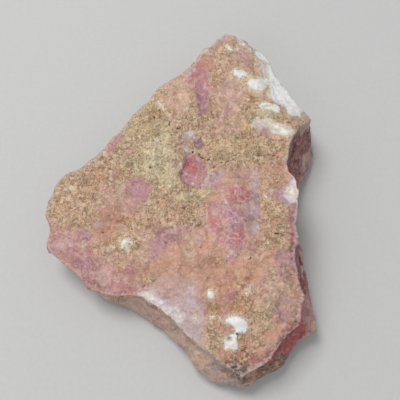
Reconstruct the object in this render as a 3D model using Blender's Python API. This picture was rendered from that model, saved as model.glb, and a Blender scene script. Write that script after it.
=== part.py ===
"""Pink opal specimen: one broken hand piece of pink opal in its tan host rock, as one closed solid.

The stone lies on its flattest face. +Z is up and +Y runs from its blunt south end to its north tip, so
the compass words below are those of a map. The design is worked out in millimetres.

How the solid is made:
- SIDES go once round the stone and give its upper edge (the rim) and its lower edge (the foot);
- the top is a triangulated sheet inside the rim, cut down to FACETS and then shaped by FORMS;
- the walls are broken in three flat runs, which meet in two wandering ridges between rim and foot;
- the underside is a sheet that the walls tuck in to, flat where the stone rests;
- shallow scars and grain are laid over all of it, and the result is fitted to the stone's three sizes.
"""

import math
from collections import namedtuple

import bmesh
import bpy
import numpy as np
from mathutils import Vector, noise
from mathutils.geometry import delaunay_2d_cdt

NAME = "pink_opal_specimen"
MM = 0.001

# The finished stone's sizes (mm)
WIDTH = 68.6
LENGTH = 92.2
THICKNESS = 18.8

# Spacing of the mesh (mm)
EDGE_PITCH = 1.6
TOP_PITCH = 1.5
UNDERSIDE_PITCH = 2.8

# Lower edge (mm): the foot's height and how far it wanders, and how the stone tucks in below it
FOOT_HEIGHT = 3.0
FOOT_WANDER = 1.6
FOOT_WANDER_SIZE = 9.0
TUCK_SCALES = (0.985, 0.95)
TUCK_SHARES = (0.55, 0.2)
UNDERSIDE_RISE = 8.0
UNDERSIDE_SINK = 0.3

# A point well inside the outline, from which "outward" is measured
CORE = np.array((3.0, -5.0))

# A wall is broken in three flat runs that meet in two ridges, at these shares of the way down it.
# Each ridge wanders up and down (as a share of the wall) and in and out (mm) from station to station,
# by a noise whose seed is fixed, so that the walls break in the same way every time.
RIDGES = (0.32, 0.68)
RIDGE_WANDER = 0.16
RIDGE_STEP = 1.1
RIDGE_SIZE = 5.0
RIDGE_SEED = 1795464778
RUN_SHARES = ((0.0, 0.5), (0.0, 1 / 3, 2 / 3), (0.0, 0.5))

# Relief over all of it (mm): the rim's jags, swells, conchoidal scars and grain
RIM_JAG = 0.45
RIM_JAG_SIZE = 1.9
SWELL_SIZE = 11.0
SWELL_DEPTH = 0.6
SCAR_SIZE = 7.0
SCAR_MEAN = 0.3
WALL_SCAR_DEPTH = 1.4
FACE_SCAR_DEPTH = 0.7
GRAIN_SIZE = 3.2
GRAIN_DEPTH = 0.2

# Each side of the stone, clockwise from the north tip. A station is (rim x, rim y, foot x, foot y).
# Shoulder and waist are how far the wall's upper and lower ridge stand out (+) or are hollowed (-).
Side = namedtuple("Side", "name shoulder waist stations")
SIDES = (
    Side("northeast", 0.5, 0.9, (
        (10.7, 45.9, 10.5, 45.0),
        (12.6, 44.9, 13.2, 44.6),
        (14.0, 42.6, 14.9, 42.7),
        (16.9, 41.8, 18.4, 41.4),
        (19.9, 40.4, 21.3, 39.9),
        (22.0, 38.2, 23.8, 37.3),
        (22.8, 34.9, 25.1, 34.9),
        (26.0, 29.3, 27.9, 30.3),
        (29.4, 22.7, 31.3, 24.1),
    )),
    Side("east lobe", -0.9, 0.8, (
        (32.5, 19.0, 33.9, 18.6),
        (31.0, 17.0, 34.5, 16.2),
        (27.6, 13.3, 34.0, 12.6),
        (26.3, 10.2, 33.0, 10.1),
        (25.3, 6.0, 31.6, 6.4),
        (25.5, 3.3, 29.8, 3.4),
    )),
    Side("east", -0.7, -0.3, (
        (27.1, 0.3, 28.6, -0.2),
        (27.6, -3.0, 28.2, -3.4),
        (26.9, -7.4, 27.8, -7.2),
        (26.1, -12.4, 28.8, -11.4),
    )),
    Side("east ledge", -1.3, 0.9, (
        (26.4, -14.4, 30.0, -13.4),
        (25.4, -16.4, 30.5, -15.8),
        (25.5, -20.0, 30.3, -20.0),
        (27.4, -27.4, 31.4, -26.8),
        (26.8, -30.4, 32.1, -30.0),
    )),
    Side("southeast", -1.4, 1.0, (
        (26.4, -33.6, 32.2, -32.6),
        (23.7, -35.8, 27.9, -35.0),
        (21.5, -38.3, 25.2, -38.6),
        (19.4, -41.0, 21.4, -42.0),
        (15.6, -43.7, 16.6, -44.8),
    )),
    Side("south tip", -0.3, 0.6, (
        (13.4, -44.5, 13.6, -45.8),
        (11.0, -43.2, 10.6, -45.8),
        (7.8, -41.0, 6.6, -44.6),
    )),
    Side("southwest", -0.5, 0.3, (
        (5.1, -38.2, 3.0, -41.8),
        (0.8, -35.2, 0.6, -37.6),
        (-2.3, -31.9, -3.3, -34.3),
        (-5.7, -29.3, -7.0, -31.4),
        (-9.0, -26.7, -11.3, -29.0),
        (-12.8, -26.2, -14.0, -27.2),
        (-18.8, -25.6, -19.0, -25.6),
    )),
    Side("lower west", 0.3, -0.4, (
        (-22.5, -23.6, -21.9, -23.0),
        (-26.0, -20.2, -25.4, -19.4),
        (-29.2, -17.8, -28.7, -17.0),
        (-32.0, -15.3, -31.4, -14.5),
        (-33.4, -13.0, -32.6, -12.5),
    )),
    Side("west", 0.4, 0.3, (
        (-32.5, -10.2, -32.2, -10.0),
        (-34.2, -5.6, -33.8, -5.4),
        (-33.2, -1.4, -33.2, -1.0),
        (-31.9, 1.6, -32.0, 2.1),
        (-28.7, 3.8, -29.2, 4.6),
        (-24.1, 5.7, -24.6, 6.5),
    )),
    Side("northwest", -0.9, 0.1, (
        (-21.0, 8.4, -21.8, 9.4),
        (-18.9, 11.4, -19.8, 12.2),
        (-15.6, 14.7, -16.5, 15.6),
        (-13.6, 18.3, -14.4, 18.9),
        (-9.7, 23.2, -10.6, 24.6),
        (-7.8, 26.6, -9.0, 28.0),
        (-4.0, 29.9, -5.0, 31.2),
        (0.2, 32.7, -0.8, 34.2),
        (2.7, 36.0, 1.6, 37.2),
        (5.1, 39.0, 4.4, 39.8),
        (7.1, 41.6, 6.8, 42.2),
        (8.5, 44.5, 8.2, 44.0),
    )),
)

# Broad faces of the top: a point (x, y, z) on each, the way it falls (degrees from +X), and its slope.
Facet = namedtuple("Facet", "name x y z heading slope")
FACETS = (
    Facet("plateau", 8, 8, 17.0, 250, 0.02),
    Facet("west lobe", -12, 3, 16.0, 195, 0.24),
    Facet("southwest bevel", -8, -14, 14.8, 238, 0.36),
    Facet("south tip", 12, -37, 14.0, 262, 0.55),
    Facet("southeast bevel", 20, -27, 16.0, 315, 0.35),
    Facet("northeast cap", 20, 27, 17.0, 35, 0.65),
    Facet("north tip", 9, 34, 16.5, 88, 0.35),
    Facet("northwest slope", -6, 14, 16.5, 140, 0.20),
)

# Lumps (+) and hollows (-) of the top: centre, half length along the heading, half width, height.
Form = namedtuple("Form", "name x y heading half_length half_width height")
FORMS = (
    Form("opal eye", 1.9, 3.6, 80, 4.6, 3.3, -1.6),
    Form("eye's east lip", 5.6, 3.3, 80, 3.4, 1.4, 0.5),
    Form("purple socket", 3.9, 10.3, 150, 2.2, 1.7, -0.9),
    Form("purple groove", 4.8, 25.8, 92, 6.6, 1.7, -1.1),
    Form("scarp above the eye", 11.0, 8.6, 2, 9.0, 2.3, 0.9),
    Form("hollow below the scarp", 15.5, 2.8, 0, 5.0, 3.0, -0.6),
    Form("rose dome", 11.6, -9.5, 95, 9.5, 5.4, 0.9),
    Form("pale slot", 16.5, -11.2, 95, 4.0, 1.6, -0.7),
    Form("east margin", 22.4, -13.0, 85, 6.0, 2.8, 0.5),
    Form("snail crescent", 12.4, -32.9, 160, 3.0, 1.7, 0.8),
    Form("snail ring", 10.9, -37.0, 90, 2.2, 1.9, 0.7),
    Form("rust pocket", 14.2, -38.5, 70, 3.2, 1.5, -0.8),
    Form("ochre hollow", 6.9, -30.2, 80, 3.4, 1.9, -0.6),
    Form("white knob", 6.5, -26.5, 0, 1.7, 1.5, 0.7),
    Form("tan knuckle", 20.6, -26.4, 60, 4.4, 2.6, 0.7),
    Form("bevel trough", 0.6, -31.0, 130, 6.0, 2.4, -0.6),
    Form("peach swell", 1.5, -19.0, 20, 7.0, 4.2, 0.6),
    Form("lilac band", -3.0, -14.3, 158, 5.0, 1.7, -0.7),
    Form("west hump", -24.5, -3.6, 165, 7.5, 5.0, 1.0),
    Form("west saddle", -14.6, -9.4, 20, 4.6, 3.2, -0.9),
    Form("mint knob", -12.6, -14.6, 30, 2.4, 1.9, 0.9),
    Form("west corner roll", -27.5, -14.6, 140, 5.0, 2.2, 0.6),
    Form("lilac window", -10.5, -2.0, 0, 3.4, 3.0, -0.8),
    Form("crust hump", -6.6, 9.6, 60, 8.0, 5.6, 1.1),
    Form("crust gully", -5.4, 18.6, 15, 5.5, 1.8, -0.9),
    Form("northwest shoulder", -3.0, 25.6, 40, 4.6, 2.8, 0.7),
    Form("north spur", 12.6, 36.6, 80, 5.0, 2.6, 0.8),
    Form("white oval", 18.8, 27.0, 10, 3.0, 1.8, 0.7),
    Form("cap scoop", 24.4, 25.8, 118, 6.0, 2.4, -0.7),
    Form("mint step", 20.5, 20.0, 170, 4.0, 2.0, 0.6),
)


def outline():
    """Points round the stone, clockwise, as rows of numbers that run straight from station to station.

    A row is rim x, rim y, foot x, foot y, then each ridge's share of the way down and how far out it is.
    """
    noise.seed_set(RIDGE_SEED)
    marks = []
    for side in SIDES:
        for station in side.stations:
            seed = Vector((station[0], station[1], 0.0)) / RIDGE_SIZE
            wander = noise.noise_vector(seed)
            step = noise.noise_vector(seed + Vector((0.0, 0.0, 10.0)))
            marks.append((
                *station,
                RIDGES[0] + RIDGE_WANDER * wander.x,
                side.shoulder + RIDGE_STEP * step.x,
                RIDGES[1] + RIDGE_WANDER * wander.y,
                side.waist + RIDGE_STEP * step.y,
            ))
    marks = np.array(marks)
    rows = []
    for here, there in zip(marks, np.roll(marks, -1, axis=0)):
        run = there - here
        span = (math.hypot(run[0], run[1]) + math.hypot(run[2], run[3])) / 2
        steps = max(1, round(span / EDGE_PITCH))
        rows += [here + run * step / steps for step in range(steps)]
    return np.array(rows)


def outward(points):
    """Unit vectors from the core to points in the plane."""
    away = points - CORE
    return away / np.linalg.norm(away, axis=1)[:, None]


def top_height(x, y):
    """Height of the top above the foot of the design (mm): the lowest facet, plus its lumps and hollows."""
    height = min(
        facet.z
        - facet.slope
        * ((x - facet.x) * math.cos(math.radians(facet.heading))
           + (y - facet.y) * math.sin(math.radians(facet.heading)))
        for facet in FACETS
    )
    for form in FORMS:
        heading = math.radians(form.heading)
        along = (x - form.x) * math.cos(heading) + (y - form.y) * math.sin(heading)
        across = (y - form.y) * math.cos(heading) - (x - form.x) * math.sin(heading)
        reach = (along / form.half_length) ** 2 + (across / form.half_width) ** 2
        height += form.height * math.exp(-(reach ** 1.5))
    return height


def wall_levels(ring):
    """Shares of the way down a wall and outward offsets there, for each level from the rim to the foot."""
    rim = np.zeros((len(ring), 2))
    foot = rim + (1.0, 0.0)
    corners = (rim, ring[:, 4:6], ring[:, 6:8], foot)
    levels = []
    for upper, lower, shares in zip(corners, corners[1:], RUN_SHARES):
        levels += [upper + (lower - upper) * share for share in shares]
    return levels + [foot]


def distance_to_loop(points, loop):
    """Distance from each point in the plane to the nearest edge of a closed loop."""
    start = loop[None, :, :]
    edge = np.roll(loop, -1, axis=0)[None, :, :] - start
    reach = points[:, None, :] - start
    t = np.clip((reach * edge).sum(2) / (edge ** 2).sum(2), 0, 1)
    return np.linalg.norm(reach - edge * t[:, :, None], axis=2).min(axis=1)


def sheet(loop, pitch):
    """Triangles that fill a loop, and the points added inside it, spaced about one pitch apart."""
    low = loop.min(axis=0)
    high = loop.max(axis=0)
    row_height = pitch * math.sqrt(3) / 2
    points = []
    for row in range(int((high[1] - low[1]) / row_height) + 1):
        for column in range(int((high[0] - low[0]) / pitch) + 1):
            x = low[0] + (column + 0.5 * (row % 2)) * pitch
            y = low[1] + row * row_height
            shift = noise.cell_vector(Vector((column, row, pitch)))
            points.append((x + 0.22 * pitch * shift.x, y + 0.22 * pitch * shift.y))
    points = np.array(points)
    points = points[distance_to_loop(points, loop) > 0.62 * pitch]
    given = [Vector(p) for p in loop] + [Vector(p) for p in points]
    edges = [(i, (i + 1) % len(loop)) for i in range(len(loop))]
    found, _, triangles, sources, _, _ = delaunay_2d_cdt(given, edges, [], 1, 1e-6)
    # Points outside the loop take part in no triangle, so only the used ones are kept.
    used = sorted({corner for triangle in triangles for corner in triangle})
    inner = {}
    added = []
    for corner in used:
        source = sources[corner][0]
        if source < len(loop):
            inner[corner] = source
        else:
            inner[corner] = len(loop) + len(added)
            added.append(tuple(found[corner]))
    return [[inner[corner] for corner in triangle] for triangle in triangles], np.array(added)


def stone_mesh():
    """The stone as one closed bmesh, in design millimetres."""
    ring = outline()
    count = len(ring)
    rim = ring[:, 0:2]
    foot = ring[:, 2:4]
    jag = [[noise.noise(Vector((x, y, 0.0)) / RIM_JAG_SIZE)] for x, y in rim]
    rim = rim + outward(rim) * RIM_JAG * np.array(jag)
    rim_height = np.array([top_height(x, y) for x, y in rim])
    wander = np.array([noise.noise(Vector((x, y, 0.0)) / FOOT_WANDER_SIZE) for x, y in foot])
    foot_height = FOOT_HEIGHT + FOOT_WANDER * wander

    mesh = bmesh.new()

    def add_loop(points, heights):
        return [mesh.verts.new((x, y, z)) for (x, y), z in zip(points, heights)]

    away = outward((rim + foot) / 2)
    loops = []
    for level in wall_levels(ring):
        share = level[:, 0]
        points = rim + (foot - rim) * share[:, None] + away * level[:, 1][:, None]
        loops.append(add_loop(points, rim_height + (foot_height - rim_height) * share))
    for scale, share in zip(TUCK_SCALES, TUCK_SHARES):
        sole = CORE + (foot - CORE) * scale
        loops.append(add_loop(sole, foot_height * share))
    for upper, lower in zip(loops, loops[1:]):
        for i in range(count):
            j = (i + 1) % count
            mesh.faces.new((upper[i], upper[j], lower[j], lower[i]))

    triangles, inside = sheet(rim, TOP_PITCH)
    top = loops[0] + add_loop(inside, [top_height(x, y) for x, y in inside])
    for triangle in triangles:
        mesh.faces.new([top[i] for i in triangle])

    triangles, inside = sheet(sole, UNDERSIDE_PITCH)
    rise = 1 - np.clip(distance_to_loop(inside, sole) / UNDERSIDE_RISE, 0, 1)
    heights = (FOOT_HEIGHT * TUCK_SHARES[-1] + UNDERSIDE_SINK) * rise ** 2 - UNDERSIDE_SINK
    under = loops[-1] + add_loop(inside, heights)
    for triangle in triangles:
        mesh.faces.new([under[i] for i in reversed(triangle)])

    bmesh.ops.triangulate(mesh, faces=mesh.faces[:], quad_method="SHORT_EDGE")
    bmesh.ops.recalc_face_normals(mesh, faces=mesh.faces[:])
    return mesh


def relief(point, upright):
    """Height of the broken surface over the smooth one, in mm; upright is 1 on a wall and 0 on a face."""
    place = Vector(point)
    swell = SWELL_DEPTH * noise.noise(place / SWELL_SIZE)
    grain = GRAIN_DEPTH * noise.fractal(place / GRAIN_SIZE, 1.0, 2.0, 3)
    # A scar is a shallow bowl round its seed, and neighbouring bowls meet in a crisp ridge.
    distances, _ = noise.voronoi(place / SCAR_SIZE)
    depth = FACE_SCAR_DEPTH + (WALL_SCAR_DEPTH - FACE_SCAR_DEPTH) * upright
    return swell + grain + depth * (distances[0] ** 2 - SCAR_MEAN)


def break_surface(mesh):
    """Lay the relief over a mesh along its normals, then grind it flat where it rests."""
    mesh.normal_update()
    lift = [vert.normal * relief(vert.co, 1 - abs(vert.normal.z)) for vert in mesh.verts]
    for vert, step in zip(mesh.verts, lift):
        vert.co += step
        vert.co.z = max(vert.co.z, 0.0)


def fit_to_size(mesh):
    """Scale a mesh to the stone's sizes in metres, with the origin under the middle of its box."""
    places = np.array([vert.co for vert in mesh.verts])
    low = places.min(axis=0)
    high = places.max(axis=0)
    middle = Vector(((low[0] + high[0]) / 2, (low[1] + high[1]) / 2, low[2]))
    scale = np.array((WIDTH, LENGTH, THICKNESS)) / (high - low) * MM
    for vert in mesh.verts:
        vert.co = Vector(scale) * (vert.co - middle)


def opal_in_matrix():
    """Peach-tan stone with a dull waxy lustre: the average of the opal and its crust."""
    material = bpy.data.materials.new("opal in tan matrix")
    material.use_nodes = True
    shader = material.node_tree.nodes["Principled BSDF"]
    shader.inputs["Base Color"].default_value = (0.50, 0.29, 0.21, 1.0)
    shader.inputs["Roughness"].default_value = 0.6
    shader.inputs["Metallic"].default_value = 0.0
    return material


def make_stone():
    """The specimen's object."""
    solid = stone_mesh()
    break_surface(solid)
    fit_to_size(solid)
    data = bpy.data.meshes.new(NAME)
    solid.to_mesh(data)
    solid.free()
    data.materials.append(opal_in_matrix())
    stone = bpy.data.objects.new(NAME, data)
    bpy.context.scene.collection.objects.link(stone)
    return stone


def main():
    for leftover in list(bpy.data.objects):
        bpy.data.objects.remove(leftover, do_unlink=True)
    make_stone()


main()
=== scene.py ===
"""Dresses the pink opal specimen: a fine skin over its solid, its mineral zones and materials, the loose
grains of its crust, and a plain stage to look at it on.

Places and sizes are in millimetres unless a name says otherwise. Compass words are those of a map: +Y is
north, +X is east, and the stone's top is seen from above.
"""

import math
from collections import namedtuple
from types import SimpleNamespace

import bmesh
import bpy
import numpy as np
from bpy.props import FloatProperty, FloatVectorProperty, IntProperty, PointerProperty
from bpy.types import Operator, Panel, PropertyGroup
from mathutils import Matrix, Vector, noise


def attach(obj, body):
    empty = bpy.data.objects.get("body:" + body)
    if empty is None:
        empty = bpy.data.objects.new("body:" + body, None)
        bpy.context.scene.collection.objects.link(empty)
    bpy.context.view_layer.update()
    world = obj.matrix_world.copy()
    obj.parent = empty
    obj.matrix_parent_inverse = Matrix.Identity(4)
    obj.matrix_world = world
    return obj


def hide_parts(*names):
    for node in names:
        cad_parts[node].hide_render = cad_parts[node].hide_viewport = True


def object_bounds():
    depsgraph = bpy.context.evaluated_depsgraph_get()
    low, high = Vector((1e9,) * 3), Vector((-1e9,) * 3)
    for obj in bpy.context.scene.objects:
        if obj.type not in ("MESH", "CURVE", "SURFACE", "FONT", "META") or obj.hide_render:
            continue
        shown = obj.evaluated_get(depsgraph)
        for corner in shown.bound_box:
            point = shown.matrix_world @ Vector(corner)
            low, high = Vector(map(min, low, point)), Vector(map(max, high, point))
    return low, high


bl_info = {
    "name": "Pink opal specimen",
    "version": (1, 0, 0),
    "blender": (4, 5, 0),
    "location": "3D View > Sidebar > Opal",
    "description": "Dresses a rough piece of pink opal in its tan host rock",
    "category": "Object",
}

NODE = "pink_opal_specimen"
BODY = "root"
MM = 0.001

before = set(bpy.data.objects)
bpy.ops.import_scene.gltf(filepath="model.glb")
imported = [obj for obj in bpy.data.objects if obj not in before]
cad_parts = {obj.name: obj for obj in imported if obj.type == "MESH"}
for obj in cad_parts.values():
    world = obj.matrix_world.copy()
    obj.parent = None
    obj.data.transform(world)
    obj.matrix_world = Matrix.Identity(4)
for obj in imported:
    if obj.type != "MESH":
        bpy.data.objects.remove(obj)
CAD_LOW, CAD_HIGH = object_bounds()


def linear(hex_code):
    """Linear colour of an sRGB hex value such as "#C79A82"."""
    channels = [int(hex_code[i:i + 2], 16) / 255 for i in (1, 3, 5)]
    return tuple(c / 12.92 if c <= 0.04045 else ((c + 0.055) / 1.055) ** 2.4 for c in channels)


def colour(name, hex_code, description):
    """A colour property whose default is an sRGB hex value."""
    return FloatVectorProperty(
        name=name, description=description, subtype="COLOR", size=3, min=0.0, max=1.0,
        default=linear(hex_code),
    )


def amount(name, default, most, description):
    """A number property that runs from 0 to the most it may be."""
    return FloatProperty(name=name, description=description, default=default, min=0.0, max=most)


def length(name, default, description):
    """A length property, in metres."""
    return FloatProperty(
        name=name, description=description, default=default, subtype="DISTANCE", unit="LENGTH", precision=5
    )


# ---------------------------------------------------------------------------------------------------------
# Where each mineral lies. Places are read on the stone's top, in millimetres from its middle.
# ---------------------------------------------------------------------------------------------------------

# An oval of the top: centre, heading (degrees from +X), half length, half width
Oval = namedtuple("Oval", "x y heading half_length half_width")
# An oval patch: its colour's name, and its oval
Patch = namedtuple("Patch", "colour x y heading half_length half_width")
# A patch with a shape of its own: its colour's name, how soft its edge is, and its corners in order
Outline = namedtuple("Outline", "colour soft corners")
# A thin line of colour: its colour's name, its half width, and the points it runs through
Vein = namedtuple("Vein", "colour half_width points")

# Broad grounds, each painted over those before it
GROUNDS = [Patch(*row) for row in (
    ("tan_crust", -25, -2, 100, 10, 9),
    ("brown_tan", -22, 5, 25, 7, 3.0),
    ("orange_tan", -20.5, 3.6, 60, 3.6, 2.2),
    ("pink_tan", -16, -4, 70, 6, 4.0),
    ("salmon", -17.0, -9.0, 75, 4.4, 3.2),
    ("sand", -3.5, 7, 66, 18, 9.5),
    ("olive_crust", -6.5, 9, 64, 13, 6.6),
    ("olive_crust", -12.6, 14.6, 50, 6.5, 3.6),
    ("olive_crust", -8.6, 23.0, 52, 5.5, 3.2),
    ("tan_crust", -22.0, 8.0, 30, 6.0, 2.6),
    ("pale_olive", -5.5, 7, 70, 7.5, 3.2),
    ("tan_crust", -1, -7, 85, 5, 6),
    ("olive_crust", 1.6, -3.4, 10, 3.6, 2.2),
    ("rose_tan", -11.6, -3.4, 80, 4.4, 3.0),
    ("tan_crust", 12, 10, 5, 15, 6.2),
    ("ochre_sand", 15, 9.0, 5, 9, 2.6),
    ("brown_tan", 13.5, 6.2, 5, 9, 1.2),
    ("sand", 12, 4.6, 5, 9, 1.6),
    ("ochre_sand", -5, 20, 40, 6, 3.4),
    ("tan_crust", 2, 20, 60, 8, 4.5),
    ("pale_sand", -1.2, 25, 70, 6, 3.4),
    ("tan_crust", 10, 32, 80, 7, 4.6),
    ("pale_sand", 14, 23, 80, 9, 6),
    ("sand", 17, 22, 80, 5, 3),
    ("ochre_sand", 20, 17.4, 10, 7, 3.2),
    ("pale_olive", 20.5, 18.4, 10, 4.0, 1.8),
    ("sand", 11.0, 40.0, 40, 5.0, 3.4),
    ("pale_sand", 18, 35, 120, 6, 3.6),
    ("cream", 20.4, 33.6, 110, 5.0, 1.4),
    ("milk", 25.6, 31.0, 118, 10.0, 3.6),
    ("cream", 19.6, 27.6, 20, 3.4, 2.4),
    ("pink_tan", 15, 37, 30, 4, 3),
    ("pink_tan", 9.5, 15, 20, 4, 3),
    ("tan_crust", 21.5, -9, 88, 11, 3.6),
    ("pink_tan", 13, 1.2, 0, 5, 1.8),
    ("pink_tan", 20.5, -26.5, 70, 4.4, 4.2),
    ("pale_sand", 21.6, -26.0, 60, 3.8, 2.4),
    ("peach_orange", 11, -24, 20, 6, 4.0),
    ("peach_orange", 14.0, -38, 60, 5, 3.8),
    ("orange_tan", 14.0, -29.0, 80, 4.6, 3.6),
    ("orange_tan", 14.0, -37.8, 70, 3.0, 1.6),
    ("sand", 17.5, -33.5, 70, 4.0, 2.6),
    ("peach_orange", 7.4, -29, 90, 5.2, 3.0),
    ("sand", 6.8, -37, 110, 5, 3.2),
    ("rose_tan", -26.0, -16.8, 145, 10, 4.8),
    ("rose_tan", -17.5, -23.4, 160, 8, 4.4),
    ("tan_crust", -14, -14, 20, 6, 3.4),
    ("pink_tan", -9, -18, 40, 4.2, 3),
    ("peach_orange", -8, -21, 10, 3.4, 1.8),
)]

# The milky bevel above the southwest wall, and the other patches with a plain shape
OUTLINES = [Outline(*row) for row in (
    ("blush", 3.6, (
        (-10.4, -23.4), (-7.2, -22.4), (-1.0, -21.8), (3.0, -22.6), (4.0, -25.6), (4.6, -29.4),
        (5.0, -34.8), (4.2, -37.6), (0.6, -36.4), (-2.0, -32.6), (-5.4, -30.0), (-9.0, -27.6),
    )),
    ("pale_lilac", 2.6, (
        (-9.4, -25.0), (-5.6, -26.2), (-1.8, -25.6), (2.2, -25.0), (4.0, -28.6), (4.6, -32.6),
        (4.4, -36.8), (1.4, -36.0), (-1.4, -32.6), (-4.6, -29.8), (-8.4, -27.4),
    )),
    ("blue_grey", 1.2, (
        (0.2, -32.0), (2.4, -31.8), (4.6, -32.4), (4.2, -35.4), (2.0, -35.0), (0.4, -33.8),
    )),
    ("blush", 2.4, (
        (-4.4, -25.0), (-2.6, -22.6), (-0.6, -23.4), (0.4, -26.4), (-0.6, -28.2), (-2.8, -27.0),
    )),
    ("milk", 1.2, (
        (-10.6, -25.4), (-8.6, -25.0), (-6.4, -25.8), (-5.0, -27.4), (-2.8, -28.6), (-0.4, -30.4),
        (0.6, -32.4), (-1.2, -32.6), (-4.4, -30.6), (-8.2, -27.8), (-10.6, -26.6),
    )),
    ("rose", 1.2, (
        (6.2, -5.6), (9.0, -5.0), (11.0, -6.4), (13.4, -7.4), (14.4, -9.6), (14.0, -12.6), (14.8, -15.2),
        (12.8, -16.6), (10.0, -16.0), (7.6, -13.4), (5.4, -11.4),
    )),
    ("brick", 0.9, (
        (17.4, -41.8), (19.0, -39.8), (20.6, -37.6), (22.0, -35.6), (23.8, -33.8), (25.6, -32.4),
        (28.0, -31.2), (27.6, -33.6), (25.2, -36.4), (22.4, -39.2), (19.4, -42.2),
    )),
    ("wine_pink", 0.8, (
        (25.8, -5.8), (25.0, -8.4), (24.7, -11.6), (24.4, -14.2), (24.4, -16.4), (24.6, -19.0),
        (25.5, -22.0), (26.5, -25.4), (27.2, -28.4), (29.4, -29.0), (29.0, -24.0), (28.6, -19.0),
        (28.4, -12.0), (28.4, -5.8),
    )),
    ("pale_sand", 0.8, ((13.2, -17.7), (16.4, -17.5), (18.6, -18.0), (18.2, -19.2), (15.4, -19.2))),
)]

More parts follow.
